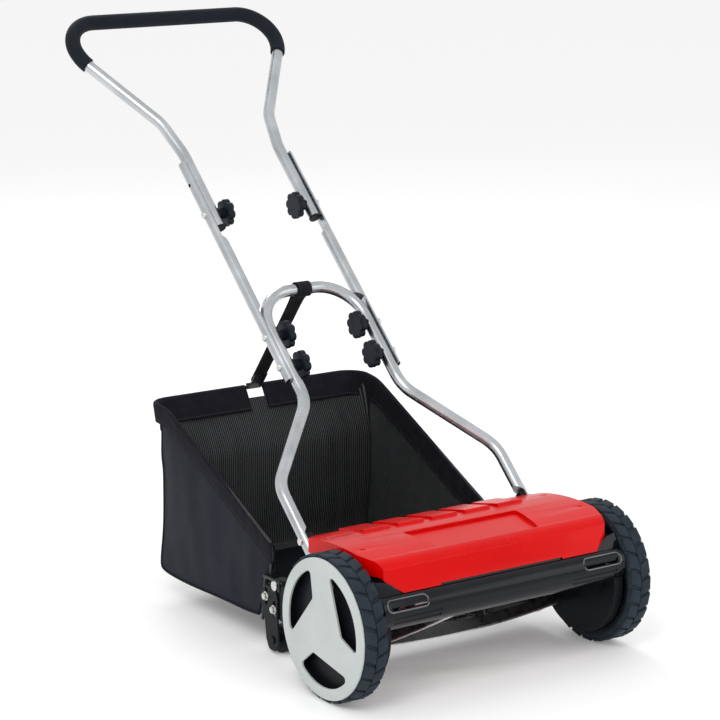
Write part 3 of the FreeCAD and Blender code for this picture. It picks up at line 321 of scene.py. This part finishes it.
def stitched(name, look):
    # tape with a ribbed face and a row of stitches near each edge
    finish = Finish(name, {"Metallic": 0.0, "Sheen Weight": 0.02, "Specular IOR Level": 0.1})
    along, across = finish.parts(finish.node("ShaderNodeTexCoord", output="UV"))[:2]
    rib = (along * look["ribs"]).does("SINE") * (across * look["ribs"] * 0.5 + 1.0).does("SINE")
    edge = (across - look["middle"]).does("ABSOLUTE") - look["reach"]
    line = 1 - (edge.does("ABSOLUTE") * (1 / look["stitchWidth"])).does("MINIMUM", 1.0)
    dash = (along * (stitching["turn"] / look["stitchPitch"])).does("SINE") > stitching["gap"]
    stitch = line * dash
    cloud = finish.noise(finish.place(), stitching["cloudScale"], detail=4.0, rough=0.6)
    tone = finish.blend(finish.spread(cloud, *noiseBand), look["dark"], look["light"])
    finish.feed("Base Color", finish.blend(stitch * 0.8, tone, look["thread"]))
    finish.feed("Roughness", finish.spread(cloud, *noiseBand, newLow=0.72, newHigh=0.9))
    finish.feed("Normal", finish.bump(rib * 0.3 + stitch, look["depth"], stitching["strength"]))
    return finish.material


def lacquered(name, look):
    # dark lacquered steel, ground bright near the cutting radius
    finish = Finish(name, {"Specular IOR Level": 0.5})
    y, z = finish.parts(finish.place())[1:]
    dy = y - look["axis"][0]
    dz = z - look["axis"][1]
    radius = (dy * dy + dz * dz) ** 0.5
    rub = finish.noise(finish.place(), look["rubScale"], detail=4.0, rough=0.7)
    worn = radius + rub * look["fray"]
    bare = finish.spread(worn, look["ground"], look["ground"] + look["fray"])
    tone = finish.blend(finish.spread(rub, low=0.35, high=0.65), look["dark"], look["light"])
    finish.feed("Base Color", finish.blend(bare, tone, look["bright"]))
    finish.feed("Metallic", finish.spread(bare, low=0.0, high=1.0, newLow=0.15))
    finish.feed("Roughness", finish.spread(rub, *noiseBand, newLow=0.22, newHigh=0.4))
    grain = finish.noise(finish.place(), look["grainScale"], detail=2.0)
    finish.feed("Normal", finish.bump(grain, look["grainDepth"], strength=0.5))
    return finish.material


finishes["tread"] = rubber("treadRubber", {
    "dark": rgb(0.010, 0.016, 0.024), "light": rgb(0.022, 0.032, 0.044),
    "dust": rgb(0.06, 0.07, 0.08),
    "cloudScale": 40.0, "pitScale": 900.0, "rough": (0.55, 0.75), "depth": 0.00025})
finishes["foam"] = rubber("foamSleeve", {
    "dark": rgb(0.003, 0.005, 0.009), "light": rgb(0.007, 0.011, 0.018),
    "dust": rgb(0.03, 0.035, 0.04),
    "cloudScale": 30.0, "pitScale": 1500.0, "rough": (0.62, 0.82), "depth": 0.0004})
finishes["cloth"] = woven("bagCloth", {
    "dark": rgb(0.0015, 0.003, 0.008), "light": rgb(0.006, 0.009, 0.018),
    "thread": rgb(0.014, 0.017, 0.028), "threads": 3600.0, "open": 0.35, "lines": 0.0,
    "cloudScale": 7.0, "sheenStripeStretch": (1.0, 1.0, 0.08), "sheenStripeScale": 22.0,
    "creaseScale": 9.0, "crease": 0.004, "depth": 0.0002, "sheen": 0.03,
    "rough": (0.45, 0.62)})
finishes["mesh"] = woven("bagMesh", {
    "dark": rgb(0.003, 0.004, 0.004), "light": rgb(0.014, 0.015, 0.016),
    "thread": rgb(0.12, 0.125, 0.13), "threads": 1700.0, "open": 0.85, "lines": 0.75,
    "cloudScale": 9.0, "sheenStripeStretch": (1.0, 0.5, 0.05), "sheenStripeScale": 70.0,
    "creaseScale": 12.0, "crease": 0.004, "depth": 0.0004, "sheen": 0.02,
    "rough": (0.6, 0.8)})
finishes["tape"] = stitched("bagTape", {
    "dark": rgb(0.004, 0.004, 0.007), "light": rgb(0.011, 0.011, 0.016),
    "thread": rgb(0.06, 0.06, 0.07),
    "ribs": 4200.0, "middle": 0.037, "reach": 0.033, "stitchWidth": 0.0008, "stitchPitch": 0.0045,
    "depth": 0.0003})
finishes["webbing"] = stitched("strapWebbing", {
    "dark": rgb(0.005, 0.005, 0.006), "light": rgb(0.016, 0.016, 0.018),
    "thread": rgb(0.07, 0.07, 0.07),
    "ribs": 3400.0, "middle": 0.0125, "reach": 0.0098, "stitchWidth": 0.0007, "stitchPitch": 0.004,
    "depth": 0.0004})
finishes["blade"] = lacquered("lacqueredBlade", {
    "axis": (0.07002, 0.08312), "ground": 0.0500, "fray": 0.0012, "rubScale": 90.0,
    "grainScale": 500.0, "grainDepth": 0.00005, "bright": rgb(0.62, 0.62, 0.61),
    "dark": rgb(0.012, 0.013, 0.015), "light": rgb(0.035, 0.037, 0.04)})
# the bead's high gloss is its own; its grey colour and pale patches, lighter than the black bar,
# are a painted highlight
finishes["bead"] = moulded("beadPaintedHighlight", {
    "dark": rgb(0.02, 0.024, 0.03), "light": rgb(0.07, 0.078, 0.09), "cloudScale": 40.0,
    "specular": 0.9,
    "grainScale": 800.0, "grainDepth": 0.00003, "scuffScale": 120.0, "scuff": 0.3,
    "scuffColour": rgb(0.2, 0.21, 0.23), "rough": (0.1, 0.2), "coat": 0.8})
print("finishes made")


# CAD nodes that keep their shape

dressed = {
    "black": ["side_plate_left", "side_plate_right", "wheel_left", "wheel_right", "roller_segments",
              "tube_plugs", "saddle_washers", "fold_washers", "bag_base", "roller_shaft"],
    "red": ["cover_screws"],
    "tube": ["lower_handle", "middle_tube_left", "middle_tube_right", "upper_handle"],
    "zinc": ["front_bar_screws", "knife_screws", "carrier_bolts", "axle_retainers",
             "shaft_clips", "height_bolts", "foot_bolts", "handle_bolts"],
    "steel": ["tie_rod", "bed_knife", "axle_left", "axle_right", "reel_shaft", "pinion_left",
              "pinion_right", "drive_pawls"],
    "blade": ["reel_blades", "reel_spiders", "knife_carrier"],
    "bronze": ["reel_bush_left", "reel_bush_right", "wheel_bush_left", "wheel_bush_right"],
    "wire": ["bag_wire", "strap_hook"],
}
for finishName, names in dressed.items():
    for name in names:
        mesh = nodes[name].data
        mesh.materials.clear()
        mesh.materials.append(finishes[finishName])
print("CAD nodes dressed")


# mouldings with rounded edges, each shaped from a merged copy of its CAD node

bodies = frame["record"]["behaviour"]["bodies"]
bodyOf = {node: body for body, names in bodies.items() for node in names}


def addPiece(name, work, body, finishNames, replaced=(), smoothAngle=40):
    mesh = bpy.data.meshes.new(name)
    work.to_mesh(mesh)
    work.free()
    piece = bpy.data.objects.new(name, mesh)
    bpy.context.scene.collection.objects.link(piece)
    for finishName in finishNames:
        mesh.materials.append(finishes[finishName])
    for face in mesh.polygons:
        face.use_smooth = True
    mesh.set_sharp_from_angle(angle=math.radians(smoothAngle))
    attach(piece, body)
    if replaced:
        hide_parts(*replaced)
    return piece


rounding = {"merge": 0.00002, "flat": 0.5, "smooth": 35, "bevelFrom": 38, "segments": 3}


def roundCopy(node, width, finish):
    work = bmesh.new()
    work.from_mesh(nodes[node].data)
    bmesh.ops.remove_doubles(work, verts=work.verts, dist=rounding["merge"])
    bmesh.ops.dissolve_limit(work, angle_limit=math.radians(rounding["flat"]), verts=work.verts,
                             edges=work.edges)
    bmesh.ops.recalc_face_normals(work, faces=work.faces)
    piece = addPiece(node + "_rounded", work, bodyOf[node], [finish], [node],
                     rounding["smooth"])
    bevel = piece.modifiers.new("edges", "BEVEL")
    bevel.width = width
    bevel.segments = rounding["segments"]
    bevel.limit_method = "ANGLE"
    bevel.angle_limit = math.radians(rounding["bevelFrom"])
    bevel.use_clamp_overlap = True
    return piece


rounded = {
    "top_cover": (0.0016, "red"), "front_bar": (0.0016, "gloss"),
    "gear_cover_left": (0.0015, "black"), "gear_cover_right": (0.0015, "black"),
    "wheel_trim_left": (0.0012, "trim"), "wheel_trim_right": (0.0012, "trim"),
    "roller_bracket_left": (0.001, "black"), "roller_bracket_right": (0.001, "black"),
    "handle_grip": (0.002, "foam"),
}
for node, (width, finish) in rounded.items():
    moulding = roundCopy(node, width, finish)
print("mouldings rounded")


# star knobs

knob = {
    "lobes": 8, "lobePoints": 8, "outer": 0.0225, "valley": 0.0185, "rimThick": 0.0105,
    "fullness": 0.7,         # under 1 makes the lobes broad and the valleys narrow
    "ledge": 0.0045, "hub": 0.009, "hubSides": 40, "overlap": 0.001, "bevel": 0.0016,
    "sharpEdge": 1.2,        # in radians
}


def makeKnob(place, side):
    node = "star_knob_%s_%s" % (place, side)
    low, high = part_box(node)
    centre = (Vector(low) + Vector(high)) / 2
    sign = 1 if side == "left" else -1
    crown, hubEnd = (low[0], high[0]) if sign > 0 else (high[0], low[0])
    work = bmesh.new()
    count = knob["lobes"] * knob["lobePoints"]
    bmesh.ops.create_circle(work, cap_ends=True, radius=1.0, segments=count)
    for vert in work.verts:
        angle = math.atan2(vert.co.y, vert.co.x)
        wave = abs(math.cos(knob["lobes"] * angle / 2)) ** knob["fullness"]
        radius = knob["valley"] + (knob["outer"] - knob["valley"]) * wave
        vert.co = Vector((0, math.cos(angle), math.sin(angle))) * radius
    grown = bmesh.ops.extrude_face_region(work, geom=work.faces[:])["geom"]
    top = [part for part in grown if isinstance(part, bmesh.types.BMVert)]
    bmesh.ops.translate(work, vec=(knob["rimThick"], 0, 0), verts=top)
    crownFaces = [part for part in grown if isinstance(part, bmesh.types.BMFace)]
    bmesh.ops.inset_region(work, faces=crownFaces, thickness=knob["ledge"], depth=0.0)
    bmesh.ops.recalc_face_normals(work, faces=work.faces)
    outline = [edge for edge in work.edges if not edge.is_boundary and len(edge.link_faces) == 2
               and edge.calc_face_angle(0) > knob["sharpEdge"]]
    bmesh.ops.bevel(work, geom=outline, offset=knob["bevel"], segments=3, affect="EDGES",
                    profile=0.5, material=-1)
    hubLength = abs(hubEnd - crown) - knob["rimThick"]
    hub = bmesh.ops.create_cone(work, cap_ends=True, radius1=knob["hub"], radius2=knob["hub"],
                                segments=knob["hubSides"],
                                depth=hubLength + 2 * knob["overlap"])["verts"]
    bmesh.ops.rotate(work, verts=hub, cent=(0, 0, 0), matrix=Matrix.Rotation(math.pi / 2, 3, "Y"))
    bmesh.ops.translate(work, vec=(-hubLength / 2 + knob["overlap"], 0, 0), verts=hub)
    flip = Matrix.Scale(-1, 4, (1, 0, 0)) if sign > 0 else Matrix.Identity(4)
    inside = crown + sign * knob["rimThick"]
    bmesh.ops.transform(work, matrix=Matrix.Translation((inside, centre.y, centre.z)) @ flip,
                        verts=work.verts)
    bmesh.ops.recalc_face_normals(work, faces=work.faces)
    addPiece("knob_%s_%s_star" % (place, side), work, "knob_%s_%s" % (place, side),
             ["knob"], [node], smoothAngle=50)


for side in ("left", "right"):
    for place in ("fold", "upper", "lower"):
        makeKnob(place, side)
print("knobs made")


def closeTube(work, fillEnds=False):
    bmesh.ops.remove_doubles(work, verts=work.verts, dist=tiny)
    if fillEnds:
        bmesh.ops.holes_fill(work, edges=work.edges, sides=12)
    bmesh.ops.recalc_face_normals(work, faces=work.faces)


# tyres

tyre = {
    "blocks": 26, "base": 0.1064, "top": 0.1092, "bore": 0.098, "slant": 24.0, "axle": 0.11,
    "blockWidth": 0.0212, "blockEdge": 0.0011, "shoulder": 0.003, "steps": 156,
    "rootWidth": 1.04, "crownWidth": 0.94, "crownLength": 0.93, "blockDepth": 1.6,
    "sideGap": 0.0002,
}


def makeTyre(side):
    low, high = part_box("tyre_" + side)
    inner, outer = sorted((low[0], high[0]))
    middle = (inner + outer) / 2
    work = bmesh.new()
    half = (outer - inner) / 2
    ring = [(-half, tyre["bore"]), (half, tyre["bore"]), (half, tyre["base"] - tyre["shoulder"]),
            (half - tyre["shoulder"], tyre["base"]), (-half + tyre["shoulder"], tyre["base"]),
            (-half, tyre["base"] - tyre["shoulder"])]
    corners = [work.verts.new((middle + x, 0, tyre["axle"] + r)) for x, r in ring]
    ends = corners[1:] + corners[:1]
    loop = [work.edges.new(pair) for pair in zip(corners, ends)]
    bmesh.ops.spin(work, geom=corners + loop, cent=(0, 0, tyre["axle"]), axis=(1, 0, 0),
                   angle=fullTurn, steps=tyre["steps"], use_merge=True)
    closeTube(work)
    lift = tyre["top"] - tyre["base"]
    block = bmesh.new()
    bmesh.ops.create_cube(block, size=1.0)
    for vert in block.verts:
        crown = vert.co.z > 0
        width = tyre["blockWidth"] * (tyre["crownWidth"] if crown else tyre["rootWidth"])
        length = (half - tyre["sideGap"]) * (tyre["crownLength"] if crown else 1.0)
        vert.co = Vector((vert.co.x * length, vert.co.y * width,
                          vert.co.z * lift * tyre["blockDepth"]))
        vert.co.y += vert.co.x * math.tan(math.radians(tyre["slant"]))
    bmesh.ops.bevel(block, geom=block.edges[:], offset=tyre["blockEdge"], segments=2,
                    affect="EDGES", profile=0.5, material=-1)
    blockMesh = bpy.data.meshes.new("treadBlock")
    block.to_mesh(blockMesh)
    block.free()
    for row in (-1, 1):
        for i in range(tyre["blocks"]):
            turn = fullTurn * (i + (row > 0) / 2) / tyre["blocks"]
            flip = Matrix.Scale(row, 4, (0, 1, 0))
            height = tyre["base"] + lift * (1 - tyre["blockDepth"] / 2)
            shift = Matrix.Translation((row * (half - tyre["sideGap"]) / 2, 0, height))
            spin = Matrix.Translation((middle, 0, tyre["axle"])) @ Matrix.Rotation(turn, 4, "X")
            before = len(work.verts)
            work.from_mesh(blockMesh)
            work.verts.ensure_lookup_table()
            added = work.verts[before:]
            bmesh.ops.transform(work, matrix=spin @ shift @ flip, verts=added)
            if row < 0:
                faces = list({face for vert in added for face in vert.link_faces})
                bmesh.ops.reverse_faces(work, faces=faces)
    addPiece("tyre_tread_" + side, work, "wheel_%s_body" % side, ["tread"],
             ["tyre_" + side], smoothAngle=35)


makeTyre("left")
makeTyre("right")
print("tyres made")


# sheets of cloth, shaped from a grid

cornerCut = 0.25             # share of a line cut off at each end when corners are rounded


def smoothLine(points, rounds=3):
    line = [Vector(point) for point in points]
    for unused in range(rounds):
        cut = [line[0]]
        for first, second in zip(line, line[1:]):
            cut += [first.lerp(second, cornerCut), first.lerp(second, 1 - cornerCut)]
        line = cut + [line[-1]]
    return line


def along(line, share):
    lengths = [0.0]
    for first, second in zip(line, line[1:]):
        lengths.append(lengths[-1] + (second - first).length)
    goal = share * lengths[-1]
    for i in range(1, len(line)):
        if lengths[i] >= goal or i == len(line) - 1:
            part = (goal - lengths[i - 1]) / max(lengths[i] - lengths[i - 1], shortest)
            return line[i - 1].lerp(line[i], clamp(part))


def lineLength(line):
    return sum((second - first).length for first, second in zip(line, line[1:]))


def makeSheet(stepsU, stepsV, place, size):
    work = bmesh.new()
    bmesh.ops.create_grid(work, x_segments=stepsU, y_segments=stepsV, size=0.5)
    layer = work.loops.layers.uv.new("cloth")
    for face in work.faces:
        for loop in face.loops:
            u, v = loop.vert.co.x + 0.5, loop.vert.co.y + 0.5
            loop[layer].uv = (u * size[0], v * size[1])
    for vert in work.verts:
        vert.co = place(vert.co.x + 0.5, vert.co.y + 0.5)
    return work


def sheetArea(piece):
    return sum(face.area for face in piece.data.polygons)


def thicken(piece, thickness, offset, innerIndex=0):
    wall = piece.modifiers.new("wall", "SOLIDIFY")
    wall.thickness = thickness
    wall.offset = offset
    wall.material_offset = innerIndex
    return piece


# raised bead round the slot near each end of the front bar

bead = {
    "centre": (0.179, 0.1575), "straight": 0.028, "round": 0.0078, "thick": 0.0012, "points": 60,
    "castFrom": -0.2, "map": (0.15, 0.008), "steps": (96, 10), "reach": 0.01,
}


def makeBead(sign):
    mesh = nodes["front_bar"].data
    surface = BVHTree.FromPolygons([vert.co for vert in mesh.vertices],
                                   [face.vertices[:] for face in mesh.polygons])
    ring = []
    for i in range(bead["points"]):
        angle = fullTurn * i / bead["points"]
        shift = bead["straight"] if math.cos(angle) > 0 else -bead["straight"]
        x = sign * bead["centre"][0] + shift + bead["round"] * math.cos(angle)
        z = bead["centre"][1] + bead["round"] * math.sin(angle)
        ring.append(surface.ray_cast(Vector((x, bead["castFrom"], z)), Vector((0, 1, 0)))[0])
    depths = [point.y for point in ring]
    for i, point in enumerate(ring):
        point.y = (depths[i - 1] + depths[i] + depths[(i + 1) % len(ring)]) / 3
    line = ring + [ring[0]]

    def place(u, v):
        centre = along(line, u)
        before = along(line, (u - bead["reach"]) % 1.0)
        ahead = (along(line, (u + bead["reach"]) % 1.0) - before).normalized()
        out = Vector((0, -1, 0))
        wide = ahead.cross(out).normalized()
        turn = fullTurn * v
        return centre + (out * math.cos(turn) + wide * math.sin(turn)) * bead["thick"]

    work = makeSheet(*bead["steps"], place, bead["map"])
    closeTube(work)
    addPiece("front_bar_bead_" + sideName(sign), work, "frame", ["bead"])


makeBead(1)
makeBead(-1)
print("front bar beads made")


# grass bag: two sides, a back that runs on into the bottom, piping and hem tape

bag = {
    "half": 0.2036, "thickness": 0.0016, "sideBulge": 0.006, "sag": 0.004, "pleat": 0.0016,
    "edge": [(0.265, 0.050), (0.300, 0.047), (0.370, 0.047), (0.480, 0.043), (0.556, 0.046),
             (0.5615, 0.060), (0.549, 0.120), (0.547, 0.200), (0.549, 0.234), (0.597, 0.314)],
    "rim": [(0.2400, 0.121), (0.2300, 0.140), (0.2300, 0.165), (0.380, 0.238), (0.520, 0.3045),
            (0.545, 0.3135), (0.563, 0.3150)],
    "sideCut": (0.376, 0.285), "notchHalf": 0.0165, "notchLow": 0.299,
    "corner": 0.034, "cornerLow": 0.225, "cornerHigh": 0.306, "rearFrom": 0.5,
    "pipingThick": 0.0021, "pipingIn": 0.0004, "pipingReach": 0.01, "pipingMap": (0.6, 0.013),
    "pipingSteps": (120, 10), "sideSteps": (90, 40), "backSteps": (110, 70), "sideMap": 0.2,
    "sideRipple": (26.0, 3.0), "backRipple": (22.0, 9.0),  # scale and seed
    "rippleTall": 0.35, "sideFade": 8, "rimFade": 12, "rearFade": 6, "lowSag": 0.4,
}
edgeLine = smoothLine([(0, y, z) for y, z in bag["edge"]])
rimLine = smoothLine([(0, y, z) for y, z in bag["rim"]])


def cornerPull(z):
    share = clamp((z - bag["cornerLow"]) / (bag["cornerHigh"] - bag["cornerLow"]))
    return bag["corner"] * share * share * (3 - 2 * share)


def seamPoint(u):  # on the seam between a side and the back, which rounds off towards the rim
    point = along(edgeLine, u)
    if point.y > bag["rearFrom"]:
        point.y -= cornerPull(point.z)
    return point


def ripple(point, scale, seed):
    return noise.noise(Vector((point.x * scale + seed, point.y * scale,
                               point.z * scale * bag["rippleTall"])))


def makeBagSide(sign):
    scale, seed = bag["sideRipple"]

    def place(u, v):
        point = seamPoint(u).lerp(along(rimLine, u), v)
        swell = math.sin(math.pi * u) * math.sin(math.pi * v)
        fade = min(1.0, *(bag["sideFade"] * edge for edge in (v, 1 - v, u, 1 - u)))
        fold = ripple(point, scale, sign * seed) * bag["pleat"] * fade
        point.x = sign * (bag["half"] + bag["sideBulge"] * swell + fold)
        return point

    work = makeSheet(*bag["sideSteps"], place, (lineLength(edgeLine), bag["sideMap"]))
    if sign < 0:
        bmesh.ops.reverse_faces(work, faces=work.faces)
    piece = addPiece("bag_side_" + sideName(sign), work, "bag", ["cloth", "mesh"])
    return thicken(piece, bag["thickness"], -1.0, 1)


def makeBagBack():
    scale, seed = bag["backRipple"]

    def place(u, v):
        point = along(edgeLine, u)
        across = 2 * v - 1
        hang = (1 - across ** 4) * math.sin(math.pi * u) ** 0.5 if 0 < u < 1 else 0.0
        corner = bag["corner"]
        reach = clamp((abs(across) * bag["half"] - bag["half"] + corner) / corner)
        if point.y > bag["rearFrom"]:
            point.y -= cornerPull(point.z) * (1 - math.sqrt(max(1 - reach * reach, 0.0)))
        point.x = across * bag["half"]
        fold = ripple(point, scale, seed) * bag["pleat"] * (1 - across ** 6)
        rear = clamp((u - 0.5) * bag["rearFade"])
        point.y += (hang * bag["sag"] + fold * 2) * rear * min(1.0, bag["rimFade"] * (1 - u))
        point.z -= (hang * bag["sag"] * bag["lowSag"] + fold) * (1 - rear)
        return point

    size = (lineLength(edgeLine), 2 * bag["half"])
    work = makeSheet(*bag["backSteps"], place, size)
    notch = []
    for face in work.faces:
        centre = face.calc_center_median()
        if abs(centre.x) < bag["notchHalf"] and centre.z > bag["notchLow"]:
            notch.append(face)
    bmesh.ops.delete(work, geom=notch, context="FACES")  # where the strap's hook takes the wire
    piece = addPiece("bag_back", work, "bag", ["cloth", "mesh"], ["bag_fabric"])
    return thicken(piece, bag["thickness"], -1.0, 1), size


def makeBagPiping(sign):
    def place(u, v):
        centre = seamPoint(u)
        before = seamPoint(max(u - bag["pipingReach"], 0))
        ahead = (seamPoint(min(u + bag["pipingReach"], 1)) - before).normalized()
        side = Vector((1, 0, 0))
        up = ahead.cross(side)
        centre.x = sign * (bag["half"] - bag["pipingIn"])
        turn = fullTurn * v
        return centre + (side * math.cos(turn) + up * math.sin(turn)) * bag["pipingThick"]

    work = makeSheet(*bag["pipingSteps"], place, bag["pipingMap"])
    closeTube(work, fillEnds=True)
    addPiece("bag_piping_" + sideName(sign), work, "bag", ["tape"])


hem = {
    "half": 0.2028, "radius": 0.0034, "inside": 0.040, "outside": 0.026, "thickness": 0.0011,
    "front": (0.2255, 0.1655), "knee": (0.532, 0.315), "rear": (0.598, 0.318), "corner": 0.035,
    "gap": 0.017, "wave": 0.0009, "lean": 0.59, "kneeRun": (0.03, 0.0135),
    "cornerSteps": 8, "reach": 0.004, "steps": (170, 30),
}


def makeHem(sign):
    x = sign * hem["half"]
    y, z = hem["rear"]
    corner = hem["corner"]
    bend = [(x - sign * corner * (1 - math.cos(a)), y - corner * (1 - math.sin(a)), z)
            for a in [math.pi / 2 * i / hem["cornerSteps"] for i in range(hem["cornerSteps"] + 1)]]
    front, knee, run = hem["front"], hem["knee"], hem["kneeRun"]
    rail = smoothLine([(x, *front), (x, knee[0] - run[0], knee[1] - run[1]), (x, *knee), bend[0]])
    line = rail + [Vector(point) for point in bend[1:]] + [Vector((sign * hem["gap"], y, z))]
    width = hem["inside"] + hem["outside"] + math.pi * hem["radius"]

    def place(u, v):
        centre = along(line, u)
        ahead = along(line, min(u + hem["reach"], 1)) - along(line, max(u - hem["reach"], 0))
        ahead.z = 0
        out = ahead.normalized().cross(Vector((0, 0, 1))) * sign
        down = Vector((0, -hem["lean"] * max(out.y, 0.0), -1)).normalized()
        reach = v * width
        wave = noise.noise(Vector((u * 40, v * 2, sign))) * hem["wave"]
        if reach < hem["inside"]:
            return centre - out * (hem["radius"] - wave) + down * (hem["inside"] - reach)
        reach -= hem["inside"]
        turn = reach / hem["radius"]
        if turn < math.pi:
            return centre + (out * -math.cos(turn) - down * math.sin(turn)) * hem["radius"]
        reach -= math.pi * hem["radius"]
        return centre + out * (hem["radius"] + wave) + down * reach

    size = (lineLength(line), width)
    work = makeSheet(*hem["steps"], place, size)
    if sign > 0:
        bmesh.ops.reverse_faces(work, faces=work.faces)
    piece = addPiece("bag_hem_tape_" + sideName(sign), work, "bag", ["tape"],
                     ["bag_hem"] if sign > 0 else [])
    return thicken(piece, hem["thickness"], 0.0), size


sides = [makeBagSide(1), makeBagSide(-1)]
back = makeBagBack()
makeBagPiping(1)
makeBagPiping(-1)
hems = [makeHem(1), makeHem(-1)]
for piece in sides:
    sheetArea(piece)
for piece, size in [back] + hems:
    sheetArea(piece) / size[1]
print("bag made")


# strap

strap = {
    "half": 0.0125, "thickness": 0.0014, "loop": 0.0119, "top": (0.45126, 0.50528),
    "low": (0.598, 0.318), "start": 0.018, "near": 0.015, "far": 0.03, "steps": (160, 8),
    "upOffsets": (-0.0007, -0.0002, 0.0010, 0.0030),
    "downOffsets": (-0.0030, -0.0012, -0.0020, -0.0023),
    "turnFrom": 150, "turnStep": 20, "turnPoints": 16,  # round the tube, in degrees
}


def makeStrap():
    top = Vector((0, *strap["top"]))
    low = Vector((0, *strap["low"]))
    length = (top - low).length
    up = (top - low).normalized()
    across = Vector((0, up.z, -up.y))
    ring = [(length + strap["loop"] * math.cos(a), strap["loop"] * math.sin(a))
            for a in [math.radians(strap["turnFrom"] - strap["turnStep"] * i)
                      for i in range(strap["turnPoints"])]]
    stops = [strap["start"], length * 0.5, length - strap["far"], length - strap["near"]]
    route = list(zip(stops, strap["upOffsets"])) + ring
    route += list(zip(stops[::-1], strap["downOffsets"]))
    line = smoothLine([low + up * u + across * w for u, w in route], 2)

    def place(u, v):
        point = along(line, u)
        point.x = (2 * v - 1) * strap["half"]
        return point

    work = makeSheet(*strap["steps"], place, (lineLength(line), 2 * strap["half"]))
    piece = addPiece("strap_webbing", work, "frame", ["webbing"], ["strap"])
    thicken(piece, strap["thickness"], 0.0)


makeStrap()
print("strap made")


# stage

stage = {
    "floor": rgb(0.86, 0.86, 0.86), "glow": 0.17, "half": 14.0, "sky": 0.88,
    "aim": (0, 0.2, 0.35),
    "lamps": [("key", (-2.4, -1.6, 3.0), 1.8, 52.0), ("fill", (2.8, -2.6, 1.9), 2.2, 14.0),
              ("rim", (0.8, 3.0, 2.8), 1.6, 30.0)],  # name, place, width and power
}


def makeStage():
    work = bmesh.new()
    bmesh.ops.create_grid(work, x_segments=2, y_segments=2, size=stage["half"])
    mesh = bpy.data.meshes.new("floor")
    work.to_mesh(mesh)
    work.free()
    floor = bpy.data.objects.new("floor", mesh)
    bpy.context.scene.collection.objects.link(floor)
    finish = Finish("paleFloor", {"Base Color": stage["floor"], "Roughness": 0.9,
                                  "Emission Color": stage["floor"],
                                  "Emission Strength": stage["glow"]})
    mesh.materials.append(finish.material)
    world = bpy.data.worlds.new("studio")
    bpy.context.scene.world = world
    world.use_nodes = True
    sky = world.node_tree.nodes["Background"]
    sky.inputs["Color"].default_value = rgb(1.0, 1.0, 1.0)
    sky.inputs["Strength"].default_value = stage["sky"]
    for name, place, size, power in stage["lamps"]:
        data = bpy.data.lights.new(name, "AREA")
        data.shape = "DISK"
        data.size = size
        data.energy = power
        lamp = bpy.data.objects.new(name, data)
        bpy.context.scene.collection.objects.link(lamp)
        lamp.location = place
        aim = Vector(stage["aim"]) - Vector(place)
        lamp.rotation_mode = "QUATERNION"
        lamp.rotation_quaternion = aim.to_track_quat("-Z", "Y")


makeStage()
bpy.context.scene.view_settings.view_transform = "Standard"
print("stage set")
